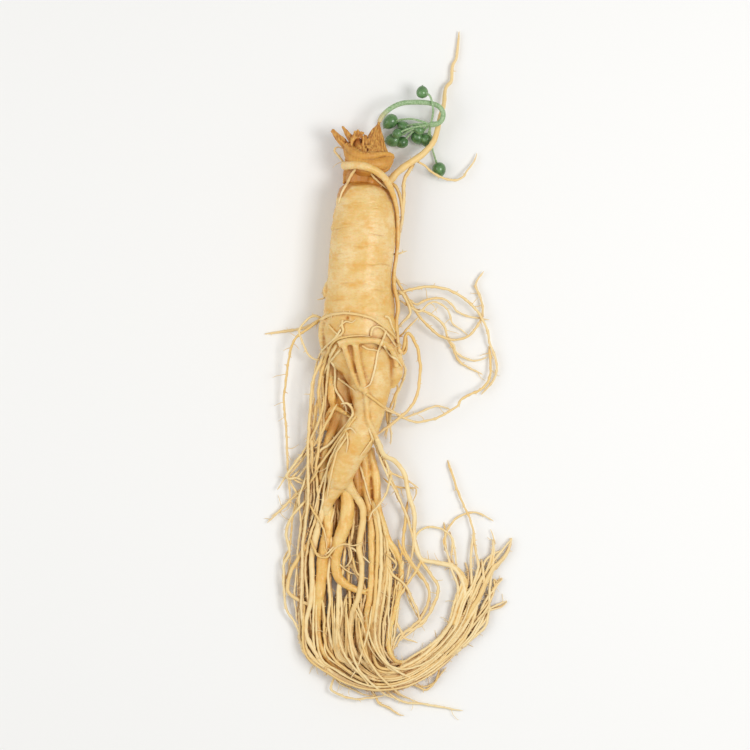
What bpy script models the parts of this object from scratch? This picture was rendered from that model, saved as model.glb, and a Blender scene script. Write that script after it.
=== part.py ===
"""A fresh ginseng root lying on its side, with the fruit stalk that grew from its crown.

The body, neck, crown, legs, fingers and rootlets grew as one piece and make one solid. The fruit stalk,
with its pedicels and berries, makes the other. The root lies along Y with its crown towards +Y, and it
rests on z = 0 on the flat spot below its belly, where the origin is.

A route point is (x, y) or (x, y, height, width). x and y are pixels of the photograph, which looks
straight down, with x to the right and y towards the root's tips. Heights and widths are in millimetres.
"""

import math

import bmesh
import bpy
from mathutils import Vector
from mathutils.bvhtree import BVHTree

MM = 0.001

# Driving dimensions
PIXEL = 0.5 * MM
ORIGIN_PIXEL = (360, 326)
AXIS_HEIGHT = 14.6
BODY_WIDTH = 32
BELLY_WIDTH = 36
DEPTH_PER_WIDTH = 0.88
FLOOR_CLEARANCE = 0.35
SINK_SHARE = 0.2
FALL_POWER = 1.5
TAPER = 0.1

# How finely the forms are made
CORE_VOXEL = 1.0 * MM
CORE_TRIANGLES = 2600
SMOOTH_FACTOR = 0.5
SMOOTH_ROUNDS = 4
CORE_STEP = 5
ROOTLET_STEP = 14
CORE_BEVEL = 3
FINGER_BEVEL = 1
ROOTLET_BEVEL = 0
STALK_STEP = 6
PEDICEL_STEP = 9
BERRY_SEGMENTS = 10
BERRY_RINGS = 7
WELD = 0.01 * MM
SHARP_ANGLE = math.radians(50)
CUTTER_SIZE = (0.6, 0.6, 0.1)
ABOVE_EVERYTHING = 100

# Thick forms, which flow into each other
BODY = [
    (366, 178, AXIS_HEIGHT, 17),
    (366, 184, AXIS_HEIGHT, 18),
    (365.5, 189, AXIS_HEIGHT, 21.5),
    (363.5, 199, AXIS_HEIGHT, 26.5),
    (362, 213, AXIS_HEIGHT, 30),
    (362, 240, AXIS_HEIGHT, BODY_WIDTH),
    (360, 270, AXIS_HEIGHT, 31.5),
    (359, 292, AXIS_HEIGHT, 32.5),
    (359, 315, AXIS_HEIGHT, 35.5),
    (360, 332, AXIS_HEIGHT, BELLY_WIDTH),
    (361, 350, AXIS_HEIGHT, 33),
    (366, 366, AXIS_HEIGHT, 26),
    (369, 380, AXIS_HEIGHT, 21),
]
HEAD = [
    (366, 184, 15, 18),
    (366, 174, 15, 18.5),
    (367, 166, 15, 22),
    (367, 157, 15, 24),
    (367, 149, 15, 20),
    (366, 143, 15, 15),
]
SPIKE_OUTER = [(357, 156, 15, 10), (346, 146, 15, 5), (338, 138, 15, 3.5), (331, 130, 15, 2)]
SPIKE_INNER = [(359, 153, 17, 9), (350, 141, 17, 4.5), (342, 127, 18, 2.2)]
CREST = [(359, 150, 17, 9), (358, 139, 17, 6), (358, 131, 17, 3)]
FAN = [(374, 157, 15, 15), (374, 146, 15, 11), (376, 136, 15, 6.5), (378.9, 122.5, 15, 3.2)]
FLANGE = [(378, 166, 15, 12), (387, 162, 15, 7), (393, 159, 15, 3)]
MAIN_LEG = [
    (365, 350, 14, 28),
    (370, 372, 13.5, 23.5),
    (370, 392, 13, 20),
    (369, 411, 13, 16),
    (362, 430, 12.5, 16),
    (353, 447, 12, 15),
    (345, 465, 11, 13.5),
    (340, 478, 9.8, 13),
    (339, 487, 8.8, 10.5),
]
LEFT_LEG = [
    (346, 348, 11, 14),
    (340, 366, 8, 10.5),
    (343, 385, 7, 8.5),
    (346, 405, 6.5, 7.5),
    (348, 425, 6, 7),
    (354, 444, 5.5, 7),
    (364, 459, 5, 6),
]
HIP_LEFT = [(334, 322, 13, 9), (330, 340, 12, 9), (329, 358, 10, 7), (331, 376, 8, 5)]
HIP_LOBE = [
    (386, 343, 18, 7), (392, 350, 17, 8), (395.5, 362, 15.5, 7.4), (395.5, 375, 14, 6.8), (391, 387, 13, 4),
]
BRANCH_LEFT = [(339, 482, 9.5, 10), (332, 494, 7.8, 7.5), (327, 505, 6.8, 6.2)]
BRANCH_RIGHT = [(345, 480, 9.5, 8), (352, 491, 9, 5), (358, 499, 8.6, 4.4)]
CORE_FORMS = [
    HEAD, SPIKE_OUTER, SPIKE_INNER, CREST, FAN, FLANGE, MAIN_LEG, LEFT_LEG, HIP_LEFT, HIP_LOBE,
    BRANCH_LEFT, BRANCH_RIGHT,
]

# Fingers and the roots that lie over others, with a height and a width at each point
FINGERS = {
    "finger_left": [
        (345, 402, 6.5, 5.5), (337, 420, 6, 5), (329, 440, 5.5, 4.6), (323.5, 460, 5.5, 4.6),
        (322.5, 478, 5.6, 4.6), (325, 496, 6, 5.4), (326, 512, 6, 6),
        (325.5, 530, 6, 6), (325, 546, 5.8, 6),
        (322.5, 561, 5.5, 6), (321.5, 578, 5.2, 5.8), (319.5, 596, 5, 5.5), (317, 613, 4.6, 4.4),
        (317, 629.5, 4.4, 4), (319.7, 646, 4.4, 4), (329.6, 661, 4.4, 4), (343, 672, 4.2, 4),
        (356, 681, 4, 4), (373, 686.7, 4, 4), (389, 688, 4, 4), (406, 684, 4, 3.8), (423, 676, 4, 3.5),
    ],
    "finger_middle": [
        (345, 486, 8.6, 5), (346, 500, 8.5, 6), (346.5, 512, 8.2, 6.3), (345, 524, 8, 6.5),
        (341.5, 534, 7.6, 6.4), (337.5, 544, 7.2, 5.8), (335.5, 555, 6.8, 5.3), (335.8, 566, 6.4, 5.2),
        (338.5, 577, 6, 5), (346, 585, 5.8, 4.2), (356, 590, 5.6, 3.6), (366, 592.5, 5.4, 3),
    ],
    "finger_centre": [
        (362, 450, 4.8, 4.8), (365, 470, 4.6, 5), (366, 490, 4.6, 4.6), (368, 506, 4.8, 4.2),
        (370.5, 520, 4.8, 3.8), (371.8, 536, 4.8, 3.9), (372, 556, 4.8, 3.8), (372, 576, 4.8, 3.7),
        (370, 598, 4.6, 3.6), (366, 620, 4.6, 3.4), (366, 638, 4.6, 3.4), (370, 655, 5, 3.4),
        (380, 666, 5.5, 3.4), (393, 671, 5.5, 3.4), (408, 667, 5, 3.4), (423, 657, 4.6, 3),
    ],
    "finger_right": [
        (369, 448, 5, 3.6), (374, 466, 5, 3.9), (376.5, 484, 5.2, 4.2), (377.3, 498, 5.2, 3.9),
        (379.3, 512, 5, 3.4), (383.5, 526, 5, 3.5), (389, 541, 5, 3.3), (396, 553, 4.6, 3),
        (400.5, 565, 4.2, 2.7), (401.5, 579, 4, 2.6), (399.7, 594, 4, 2.6), (394, 614, 4, 2.6),
        (389, 634, 4.5, 2.6), (388, 655, 5, 2.6),
    ],
    "branch_left_long": [
        (329, 500, 6.8, 3.4), (322, 514, 6.5, 3.3), (317.5, 530, 6.4, 3.2), (314, 545, 6.2, 3.2),
        (311.5, 561, 6, 2.8), (312, 577, 6, 2.6), (311, 600, 6, 2.4),
        (306, 622, 6, 2.2), (308, 640, 6, 2.1),
        (322, 662, 6.5, 2), (338, 677, 7, 2), (360, 686, 7, 2),
    ],
    "branch_right_long": [
        (358, 499, 8.5, 4.2), (362.5, 508, 8, 3.6), (363, 520, 7.6, 3.2), (361, 534, 7.4, 3),
        (359, 550, 7.2, 2.9), (362, 570, 7, 2.8), (359, 595, 6.8, 2.6), (352, 615, 6.6, 2.5),
        (350, 635, 6.6, 2.4), (356, 655, 6.8, 2.3), (372, 668, 7, 2.2),
        (393, 673, 7, 2.1), (412, 664, 6.5, 2),
    ],
    "leg_root": [
        (332, 374, 8.5, 3.6), (332, 388, 8, 4), (332, 399, 7.8, 4), (334, 406, 7.6, 3.2),
        (339, 409.5, 7.6, 2.2), (345.5, 413.4, 8, 2), (351, 417, 8.6, 1.8),
    ],
    "neck_root": [
        (346, 168, 21, 4.2), (355, 165.5, 24.5, 4.2), (364.6, 168, 26, 4.0), (374, 171, 25, 3.8),
        (383, 177, 21, 3.5), (389, 185, 18, 3.2), (394, 197, 15, 2.8), (396.5, 215, 14, 2.4),
        (397.5, 241, 14, 2.2), (395, 262, 14, 2.2), (393.5, 280, 14, 2.2), (397.5, 302, 14, 2.2),
        (396.5, 322, 14, 2.2), (399, 343, 14, 2.2),
    ],
    "crown_root": [
        (383, 186, 14, 3.6), (390, 181, 14.5, 3.6), (397, 173, 14.5, 3.5), (408, 164.5, 14, 3.4),
        (422, 155, 12.5, 3.2), (432, 143.5, 11, 2.9), (437, 132, 9.5, 2.7), (440.5, 115, 7, 2.4),
        (444, 104, 5.5, 2.1), (446, 87, 3.5, 1.7), (451.4, 79.6, 2.8, 1.6), (453, 65, 2.2, 1.5),
        (457, 55, 1.8, 1.4), (459.7, 30.5, 1.6, 1.3),
    ],
    "belt_root": [
        (340, 345, 30, 3.6), (352, 341.7, 31.5, 3.6), (365, 341, 32, 3.6), (380, 343.5, 29.5, 3.6),
        (391, 350, 24, 3.4), (397, 358, 19.5, 3.0),
    ],
    "rib_root": [
        (357, 346, 31.5, 2.6), (359, 362, 28.5, 2.6), (363, 384, 25, 2.6), (366, 400, 22.5, 2.5),
        (368, 420, 20.5, 2.4), (377, 439, 18, 2.4), (384, 455, 12, 2.4), (395, 461, 8, 2.4),
        (405, 476, 6, 2.4), (409, 496, 6, 2.2), (414.4, 514, 5, 2.2), (414.5, 540, 4, 2.2),
        (421, 559, 4, 2.2), (437, 563, 4, 2.1), (453, 567.4, 4, 2.0), (462, 580, 4, 1.9),
        (465, 597.7, 4, 1.8), (460, 612, 4, 1.8),
    ],
    "arc_over_body": [
        (401, 346, 17, 1.4), (392, 334, 26, 1.4), (381, 325, 30, 1.4), (371, 318.6, 31.2, 1.4),
        (356, 314.6, 31.8, 1.4), (343, 313.8, 29, 1.4), (331, 315.4, 22, 1.4), (320, 320, 13, 1.4),
        (308, 325.8, 8, 1.3), (298.3, 329, 5, 1.3), (277.5, 332, 2.5, 1.2), (264.5, 334, 1.8, 1.2),
    ],
}

# Rootlets: each is (width, start height, end height, route)
ROOTLETS = {
    "crown_fork_right": (1.2, 13, 1.6, [
        (414, 160), (425, 166), (432, 172), (440.5, 176.4), (453, 179.7), (463, 177), (468.5, 168.7),
        (475.6, 158), (477, 152.6),
    ]),
    "crown_fork_down": (2.0, 12, 13, [
        (415, 162), (408, 173), (404, 183), (403.3, 209), (401, 223.5), (398, 243), (395, 262),
    ]),
    "tuft_arc": (1.4, 12, 2, [
        (393, 297), (408, 290), (424, 286.7), (438.6, 287.5), (451, 290.7), (464, 298),
        (475, 308), (483, 319),
        (488, 330.6), (489.6, 341.7), (494.4, 354.5), (496.8, 369), (493.6, 380), (481.6, 394.4),
    ]),
    "tuft_return": (1.3, 2, 13, [
        (489.6, 346), (491, 366), (489.6, 378), (483, 388), (473.6, 393), (461, 400),
        (456, 407), (440, 416.7),
        (427, 420.7), (416, 422), (408, 420), (397, 414), (386, 410), (376, 402),
    ]),
    "tuft_fall": (1.4, 12, 2, [
        (392, 272), (397, 280), (402, 289), (410, 302), (418, 314.6), (427.4, 325),
        (437, 334), (446.5, 338.6),
        (457.7, 339.4), (469, 335.4), (476.8, 327), (481.6, 319), (483, 310), (480.8, 297), (476, 284),
        (484, 271),
    ]),
    "tuft_inner": (1.2, 9, 2, [
        (408, 298), (416, 304), (427, 299.5), (443, 298.7), (451, 303.5), (457.7, 311.5), (469, 316),
        (489.6, 319.4),
    ]),
    "tuft_low": (1.2, 9.4, 1.8, [
        (407, 298), (414, 308), (425.8, 312), (437, 318), (445, 327), (448, 338.6), (453.7, 345),
        (457.7, 353), (467, 359), (477, 361), (488, 357),
    ]),
    "tuft_tip": (1.2, 4.6, 1.6, [
        (446, 331), (448, 338.6), (453, 348), (457, 357), (465.7, 365.7), (483, 374.4),
    ]),
    "tuft_knee": (1.6, 12, 12, [
        (394, 290), (402.7, 294), (410, 310), (409, 316), (401, 324), (394, 332),
    ]),
    "hip_loop": (1.6, 15, 12, [
        (394, 342), (401, 336), (406.7, 332), (413, 338.6), (418, 350), (420, 365.7), (419.4, 381.6),
        (416, 397.6), (408, 410), (397, 420), (386, 428), (374, 437),
    ]),
    "hip_tail": (1.2, 12, 2, [
        (380, 405), (394, 412), (403.5, 418), (419.4, 412), (437, 406), (451, 409.5),
    ]),
    "hip_strand": (1.3, 15, 4, [
        (400, 358), (405.5, 370), (402, 383), (396.5, 395.5), (394, 405.7), (390, 421), (391.4, 439),
        (391, 444.6),
    ]),
    "hip_strand_inner": (1.3, 13, 4, [
        (393, 378), (397.8, 387), (394, 398), (389.5, 411), (388, 425), (385.7, 439),
    ]),
    "left_strand": (1.3, 14, 2.5, [
        (330, 318), (320, 320), (307.8, 329), (298.3, 335.4), (292.7, 343), (289.5, 354.5), (287, 369),
        (285.2, 385), (284, 402), (286, 432), (288, 475), (289.5, 492), (290.3, 508),
    ]),
    "left_loop": (1.2, 13, 9, [
        (328, 322), (315.8, 316), (306, 321), (299, 330), (301.5, 338.6), (306, 349.7), (311, 357),
        (322, 360), (334, 356),
    ]),
    "left_inner": (1.6, 14, 6, [
        (340, 334), (330, 344), (324, 356), (316, 372), (312.6, 382), (311, 398),
        (309.4, 420), (308, 439),
        (307.8, 464), (307.8, 496), (306, 520), (303, 543.5), (302, 567), (301.5, 591), (301, 614),
        (306, 634), (316, 650),
    ]),
    "left_second": (1.6, 13, 5, [
        (336, 345), (326, 360), (320, 380), (319, 400), (321, 422), (319, 445), (316, 470), (318, 495),
        (315, 520), (308, 545), (305, 570), (308, 600), (312, 630),
    ]),
    "left_crossing": (1.3, 10, 3, [
        (352, 408), (353, 414), (349, 420), (337, 438), (320, 446), (300, 457),
        (286.3, 475.7), (277, 490),
    ]),
    "left_fork": (1.2, 4, 2, [
        (320, 470), (308, 484), (296, 494), (288.7, 502), (278, 513), (267.2, 523.6),
    ]),
    "left_outer": (1.4, 7, 3, [
        (306, 500), (297.5, 510), (290, 520), (286, 535), (289.5, 553), (283.5, 566), (284, 593),
        (286.5, 610), (295, 624.5), (301.5, 638), (310, 651), (323, 666), (336, 677),
    ]),
    "left_yellow": (2.2, 5, 5, [
        (318, 528), (308, 543.5), (298, 559), (290, 574), (288, 592), (300, 601),
        (314.7, 607), (324, 606),
    ]),
    "fan_long": (1.3, 9, 2.5, [
        (376, 445), (387, 465), (393, 483), (403, 507), (412, 533), (413, 549.5), (409, 570), (406, 590),
        (412, 606), (421, 622),
    ]),
    "fan_thin": (1.1, 1.8, 3.5, [
        (448, 460.6), (453, 476.5), (461, 499), (469, 515), (473.6, 532), (477, 556), (478.4, 575),
    ]),
    "fan_loop": (1.1, 3, 2, [
        (447, 552), (445.7, 534), (453, 523), (461, 516), (472, 513), (483, 515), (493.6, 522),
    ]),
    "fan_loop_low": (1.1, 4, 3, [
        (414, 552), (415.5, 539), (419.4, 531.5), (429, 527.6), (440, 529), (450, 535.5), (454.5, 547),
        (456, 566), (460, 590),
    ]),
    "sweep_edge_out": (1.6, 5, 3, [
        (300, 640), (313, 660), (329, 674), (351, 685.5), (370, 690), (389, 691),
        (406, 687.5), (423, 679),
        (436, 671.5), (448, 659), (460, 650), (474, 638), (485, 627), (489, 612),
        (489.6, 589), (494, 560),
        (494, 541),
    ]),
    "sweep_edge_in": (1.6, 6, 4, [
        (372, 640), (378, 658), (388, 665), (402, 663), (423, 651), (438, 639.5),
        (449, 626.5), (456, 607),
        (458, 588), (452, 570), (445, 545),
    ]),
    "sweep_1": (1.6, 4, 3, [
        (398, 600), (396, 625), (392, 650), (400, 668), (420, 663), (441, 651), (461, 634), (474, 612),
        (480, 586), (491, 566), (511, 541),
    ]),
    "sweep_2": (1.6, 4, 2.5, [
        (406, 679), (424, 671), (443, 659), (462, 645), (476, 628), (483, 606), (496, 588), (503, 580),
    ]),
    "sweep_3": (1.6, 6, 3, [
        (412, 673), (430, 663), (446, 648), (459, 632), (467, 612), (472, 590), (471, 562), (474, 530),
    ]),
    "sweep_4": (1.8, 8, 4, [
        (366, 660), (382, 677), (402, 682), (420, 674), (438, 664), (456, 649), (470, 630), (477, 608),
        (484, 584), (482, 560),
    ]),
    "sweep_5": (1.6, 7, 3, [
        (380, 668), (396, 675), (415, 668), (434, 656), (452, 640), (464, 620), (470, 600), (478, 578),
        (487, 560), (500, 551),
    ]),
    "sweep_out_short": (1.4, 4, 2, [(470, 636), (481, 624), (487, 612), (497, 606), (507, 601.3)]),
    "bundle_1": (1.8, 7, 5, [
        (372, 505), (377, 530), (379, 555), (381, 580), (379, 605), (375, 630), (377, 652), (390, 668),
    ]),
    "bundle_2": (1.6, 6, 5, [
        (376, 500), (384, 530), (389, 556), (391, 580), (388, 605), (383, 630), (384, 652), (396, 666),
    ]),
    "bundle_3": (1.6, 7, 4, [
        (355, 505), (353, 530), (350, 548), (351, 565), (358, 577), (365, 590), (362, 612), (356, 634),
        (360, 658),
    ]),
    "bundle_4": (1.8, 7, 5, [
        (335, 505), (330, 528), (331, 550), (328, 575), (330, 600), (328, 622), (332, 645), (345, 664),
        (362, 678), (384, 684),
    ]),
    "bundle_5": (1.6, 7, 5, [
        (343, 520), (345, 546), (343, 566), (340, 590), (342, 612), (339, 634), (347, 655), (360, 670),
        (380, 679),
    ]),
    "bundle_6": (1.6, 5, 4, [
        (408, 500), (405, 525), (404, 549), (414, 566), (427, 585), (429, 600), (420, 620), (404, 634),
        (394, 650),
    ]),
    "bundle_7": (1.6, 4, 4, [
        (416, 540), (421, 560), (430, 574), (438, 586), (436, 600), (428, 616), (412, 632), (398, 642),
    ]),
    "bundle_cross": (1.3, 10, 7, [
        (320, 558), (328, 553), (336, 546), (346, 545), (357, 552), (370, 563),
    ]),
    "stray_low": (1.3, 3, 1.6, [
        (362, 684), (370, 690), (375, 696.5), (380, 705), (389, 709), (399.5, 715.7), (404, 716.5),
    ]),
    "stray_far": (1.2, 4, 1.6, [
        (380, 687), (390, 695), (398, 700), (406.6, 703.6), (419, 704.5), (436, 707), (448, 709.5),
        (463, 712),
    ]),
    "stray_loop": (1.2, 4, 4, [
        (338, 674), (333, 681), (331, 689), (335, 693.5), (343, 697), (354, 699.7), (364, 699.7),
        (376.5, 698), (388, 694),
    ]),
    "stray_edge": (1.2, 3, 1.8, [(405, 684), (417.4, 687), (427, 690.4), (436.4, 681), (446, 668)]),
}

OVER_THE_BODY = {"arc_over_body", "neck_root", "belt_root", "rib_root"}

# Fruit stalk, whose base stays about half a millimetre clear of the crown's right spike
STALK_WIDTH = 2.5
STALK = [
    (379.2, 122.2, 15, STALK_WIDTH), (383, 115.4, 15, STALK_WIDTH), (391.4, 108.4, 15, STALK_WIDTH),
    (401, 104, 14.8, STALK_WIDTH), (411, 102.8, 14.5, STALK_WIDTH), (422, 102.8, 14.2, STALK_WIDTH),
    (432, 104, 13.8, STALK_WIDTH), (439, 107, 13.3, STALK_WIDTH), (443, 113, 12.8, STALK_WIDTH),
    (442, 120, 12.2, STALK_WIDTH), (437, 124, 11.6, STALK_WIDTH), (430.5, 124.5, 11.2, STALK_WIDTH),
]
UMBEL = (430.5, 124.5, 11.2)
PEDICEL_WIDTH = 1.1
# Berries: (x, y, height, width, length, turn in degrees of its long axis from the x axis)
BERRIES = {
    "top": (422.2, 92.3, 12, 6.0, 6.4, 90),
    "left": (390, 121, 5, 6.4, 8.0, 45),
    "left_near": (403.3, 125, 4, 5.0, 6.5, -35),
    "low_left": (392.8, 139, 3.6, 6.2, 6.2, 0),
    "low_left_near": (401, 141.5, 4.5, 5.6, 6.0, 20),
    "middle": (418, 136.5, 4, 6.0, 6.6, -50),
    "middle_right": (427, 140.5, 4.2, 6.2, 6.6, -70),
    "lowest": (439, 168.7, 3.8, 6.2, 7.0, -70),
}
# Where each pedicel bends on its way from the umbel to its berry: (x, y, height)
PEDICEL_BENDS = {
    "top": [(433, 112, 15.5), (430, 97, 16)],
    "left": [(411, 119, 10)],
    "left_near": [(416, 124, 9)],
    "low_left": [(411, 130, 9)],
    "low_left_near": [(415, 130, 8)],
    "middle": [(424, 130, 8)],
    "middle_right": [(429, 132, 8)],
    "lowest": [(430, 133, 8), (432, 146, 2.5), (436, 160, 2.5)],
}

# Colours
ROOT_COLOUR = (0.78, 0.52, 0.20, 1)
STALK_COLOUR = (0.20, 0.38, 0.16, 1)
ROOT_ROUGHNESS = 0.42
STALK_ROUGHNESS = 0.4


def clear_scene():
    for obj in list(bpy.data.objects):
        bpy.data.objects.remove(obj, do_unlink=True)


def new_collection(name):
    collection = bpy.data.collections.new(name)
    bpy.context.scene.collection.children.link(collection)
    return collection


def make_material(name, colour, roughness):
    material = bpy.data.materials.new(name)
    material.use_nodes = True
    shader = material.node_tree.nodes["Principled BSDF"]
    shader.inputs["Base Color"].default_value = colour
    shader.inputs["Roughness"].default_value = roughness
    shader.inputs["Metallic"].default_value = 0
    return material


def place(x, y, height):
    """The point of the root's own frame that a pixel and a height in millimetres stand for."""
    return Vector(((x - ORIGIN_PIXEL[0]) * PIXEL, (ORIGIN_PIXEL[1] - y) * PIXEL, height * MM))


def full_points(width, start_height, end_height, route):
    """A rootlet's route with a height and a width: it falls quickly from its start height, then lies."""
    points = []
    for i, (x, y) in enumerate(route):
        share = i / (len(route) - 1)
        height = end_height + (start_height - end_height) * (1 - share) ** FALL_POWER
        points.append((x, y, height, width * (1 - share * TAPER)))
    return points


def smooth_route(points, step):
    """A Catmull-Rom curve through the points, with a new point about every step pixels."""
    ends = [points[0]] + list(points) + [points[-1]]
    smooth = []
    for before, start, end, after in zip(ends, ends[1:], ends[2:], ends[3:]):
        length = math.dist(start[:2], end[:2])
        count = max(1, round(length / step))
        for i in range(count):
            t = i / count
            smooth.append(tuple(
                b + (c - a) * t / 2 + (2 * a - 5 * b + 4 * c - d) * t**2 / 2 + (3 * (b - c) + d - a) * t**3 / 2
                for a, b, c, d in zip(before, start, end, after)
            ))
    smooth.append(tuple(points[-1]))
    return smooth


def mesh_object(name, mesh, collection):
    obj = bpy.data.objects.new(name, mesh)
    collection.objects.link(obj)
    return obj


def bake(obj):
    """Replaces the object's mesh with its evaluated one, and removes its modifiers."""
    graph = bpy.context.evaluated_depsgraph_get()
    graph.update()
    mesh = bpy.data.meshes.new_from_object(obj.evaluated_get(graph))
    obj.modifiers.clear()
    obj.data = mesh


def tube(name, points, bevel, collection):
    """A closed tube along the points, as a mesh."""
    curve = bpy.data.curves.new(name, "CURVE")
    curve.dimensions = "3D"
    curve.bevel_depth = MM / 2
    curve.bevel_resolution = bevel
    curve.use_fill_caps = True
    spline = curve.splines.new("POLY")
    spline.points.add(len(points) - 1)
    for spline_point, (x, y, height, width) in zip(spline.points, points):
        spline_point.co = (*place(x, y, height), 1)
        spline_point.radius = width
    curve_object = bpy.data.objects.new(name, curve)
    collection.objects.link(curve_object)
    graph = bpy.context.evaluated_depsgraph_get()
    graph.update()
    mesh = bpy.data.meshes.new_from_object(curve_object.evaluated_get(graph))
    bpy.data.objects.remove(curve_object, do_unlink=True)
    weld = bmesh.new()
    weld.from_mesh(mesh)
    bmesh.ops.remove_doubles(weld, verts=weld.verts, dist=WELD)
    bmesh.ops.recalc_face_normals(weld, faces=weld.faces)
    weld.to_mesh(mesh)
    weld.free()
    return mesh_object(name, mesh, collection)


def flatten(obj):
    """Makes the section of a tube on the body's axis less deep than wide."""
    axis = AXIS_HEIGHT * MM
    for vertex in obj.data.vertices:
        vertex.co.z = axis + (vertex.co.z - axis) * DEPTH_PER_WIDTH


def join(name, objects, collection):
    """One object that holds the meshes of all of these."""
    mesh = bpy.data.meshes.new(name)
    joined = bmesh.new()
    for obj in objects:
        joined.from_mesh(obj.data)
        bpy.data.objects.remove(obj, do_unlink=True)
    joined.to_mesh(mesh)
    joined.free()
    return mesh_object(name, mesh, collection)


def union(obj, collection, solver):
    """Joins every object of the collection to this one, and removes them."""
    boolean = obj.modifiers.new("union", "BOOLEAN")
    boolean.operation = "UNION"
    boolean.operand_type = "COLLECTION"
    boolean.collection = collection
    boolean.solver = solver
    bake(obj)
    for joined in list(collection.objects):
        bpy.data.objects.remove(joined, do_unlink=True)
    bpy.data.collections.remove(collection)


def cut_at_floor(obj, cutters):
    """Cuts off what reaches below z = 0, which leaves the flat spot that the root rests on."""
    bpy.ops.mesh.primitive_cube_add(size=1, location=(0, 0, -CUTTER_SIZE[2] / 2))
    cutter = bpy.context.object
    cutter.name = "floor_cutter"
    cutter.scale = CUTTER_SIZE
    for collection in list(cutter.users_collection):
        collection.objects.unlink(cutter)
    cutters.objects.link(cutter)
    cutter.hide_render = True
    cutter.display_type = "WIRE"
    boolean = obj.modifiers.new("floor", "BOOLEAN")
    boolean.operation = "DIFFERENCE"
    boolean.object = cutter
    bake(obj)


def keep_outer_shell(obj):
    """Deletes closed pockets that crossing rootlets shut in, so that only the outer skin stays."""
    shells = bmesh.new()
    shells.from_mesh(obj.data)
    bmesh.ops.remove_doubles(shells, verts=shells.verts, dist=WELD / 10)
    unseen = set(shells.faces)
    groups = []
    while unseen:
        stack = [unseen.pop()]
        group = []
        while stack:
            face = stack.pop()
            group.append(face)
            for edge in face.edges:
                for other in edge.link_faces:
                    if other in unseen:
                        unseen.remove(other)
                        stack.append(other)
        groups.append(group)
    groups.sort(key=len)
    for group in groups[:-1]:
        bmesh.ops.delete(shells, geom=group, context="FACES")
    shells.to_mesh(obj.data)
    shells.free()


def shade(obj, material):
    obj.data.materials.clear()
    obj.data.materials.append(material)
    obj.data.shade_smooth()
    obj.data.set_sharp_from_angle(angle=SHARP_ANGLE)


def make_core(collection, cutters):
    """The body, crown and legs as one soft form."""
    body = tube("body", smooth_route(BODY, CORE_STEP), CORE_BEVEL, collection)
    flatten(body)
    forms = [tube("form", smooth_route(route, CORE_STEP), CORE_BEVEL, collection) for route in CORE_FORMS]
    core = join("ginseng_root", [body, *forms], collection)
    remesh = core.modifiers.new("remesh", "REMESH")
    remesh.mode = "VOXEL"
    remesh.voxel_size = CORE_VOXEL
    smooth = core.modifiers.new("smooth", "SMOOTH")
    smooth.factor = SMOOTH_FACTOR
    smooth.iterations = SMOOTH_ROUNDS
    bake(core)
    decimate = core.modifiers.new("decimate", "DECIMATE")
    decimate.ratio = CORE_TRIANGLES / (2 * len(core.data.polygons))
    bake(core)
    cut_at_floor(core, cutters)
    return core


def on_surface(points, surface):
    """The same points, none lower than the top of the core where they cross it, nor than the floor."""
    laid = []
    for x, y, height, width in points:
        lowest = width / 2 + FLOOR_CLEARANCE
        spot = place(x, y, ABOVE_EVERYTHING)
        hit, _, _, _ = surface.ray_cast(spot, Vector((0, 0, -1)))
        if hit is not None:
            lowest = hit.z / MM + width * (0.5 - SINK_SHARE)
        laid.append((x, y, max(height, lowest), width))
    return laid


def above_floor(points):
    return [(x, y, max(height, width / 2 + FLOOR_CLEARANCE), width) for x, y, height, width in points]


def make_root(collection, cutters):
    core = make_core(collection, cutters)
    surface = BVHTree.FromObject(core, bpy.context.evaluated_depsgraph_get())
    strands = new_collection("strands")
    for name, strand in FINGERS.items():
        points = smooth_route(strand, ROOTLET_STEP)
        points = on_surface(points, surface) if name in OVER_THE_BODY else above_floor(points)
        tube(name, points, FINGER_BEVEL, strands)
    for name, strand in ROOTLETS.items():
        points = smooth_route(full_points(*strand), ROOTLET_STEP)
        points = on_surface(points, surface) if name in OVER_THE_BODY else above_floor(points)
        tube(name, points, ROOTLET_BEVEL, strands)
    union(core, strands, "MANIFOLD")
    keep_outer_shell(core)
    shade(core, make_material("root_flesh", ROOT_COLOUR, ROOT_ROUGHNESS))


def berry(name, collection):
    """A berry: a ball, a little longer than wide, turned towards its pedicel."""
    x, y, height, width, length, turn = BERRIES[name]
    ball = bmesh.new()
    bmesh.ops.create_uvsphere(ball, u_segments=BERRY_SEGMENTS, v_segments=BERRY_RINGS, radius=0.5)
    mesh = bpy.data.meshes.new(name)
    ball.to_mesh(mesh)
    ball.free()
    obj = mesh_object("berry_" + name, mesh, collection)
    obj.scale = (width * MM, width * MM, length * MM)
    obj.rotation_euler = (0, math.radians(90), math.radians(turn))
    obj.location = place(x, y, height)
    return obj


def make_stalk(collection):
    stalk = tube("fruit_stalk", smooth_route(STALK, STALK_STEP), FINGER_BEVEL, collection)
    fruit = new_collection("fruit")
    for name in BERRIES:
        x, y, height = BERRIES[name][:3]
        route = [(*spot, PEDICEL_WIDTH) for spot in (UMBEL, *PEDICEL_BENDS[name], (x, y, height))]
        tube("pedicel_" + name, smooth_route(route, PEDICEL_STEP), ROOTLET_BEVEL, fruit)
        berry(name, fruit)
    union(stalk, fruit, "EXACT")
    keep_outer_shell(stalk)
    shade(stalk, make_material("stalk_green", STALK_COLOUR, STALK_ROUGHNESS))


def main():
    clear_scene()
    collection = new_collection("ginseng")
    cutters = new_collection("cutters")
    make_root(collection, cutters)
    make_stalk(collection)


main()
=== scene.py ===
"""Looks of the ginseng root and its fruit stalk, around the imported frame.

Route points are (x, y), (x, y, height) or (x, y, height, width). x and y are pixels of the photograph,
which looks straight down, and heights and widths are in millimetres. A pixel is half a millimetre.
Tables of rootlets hold plain numbers, and their points are x, y, x, y and so on.
"""

import math
import random

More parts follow.
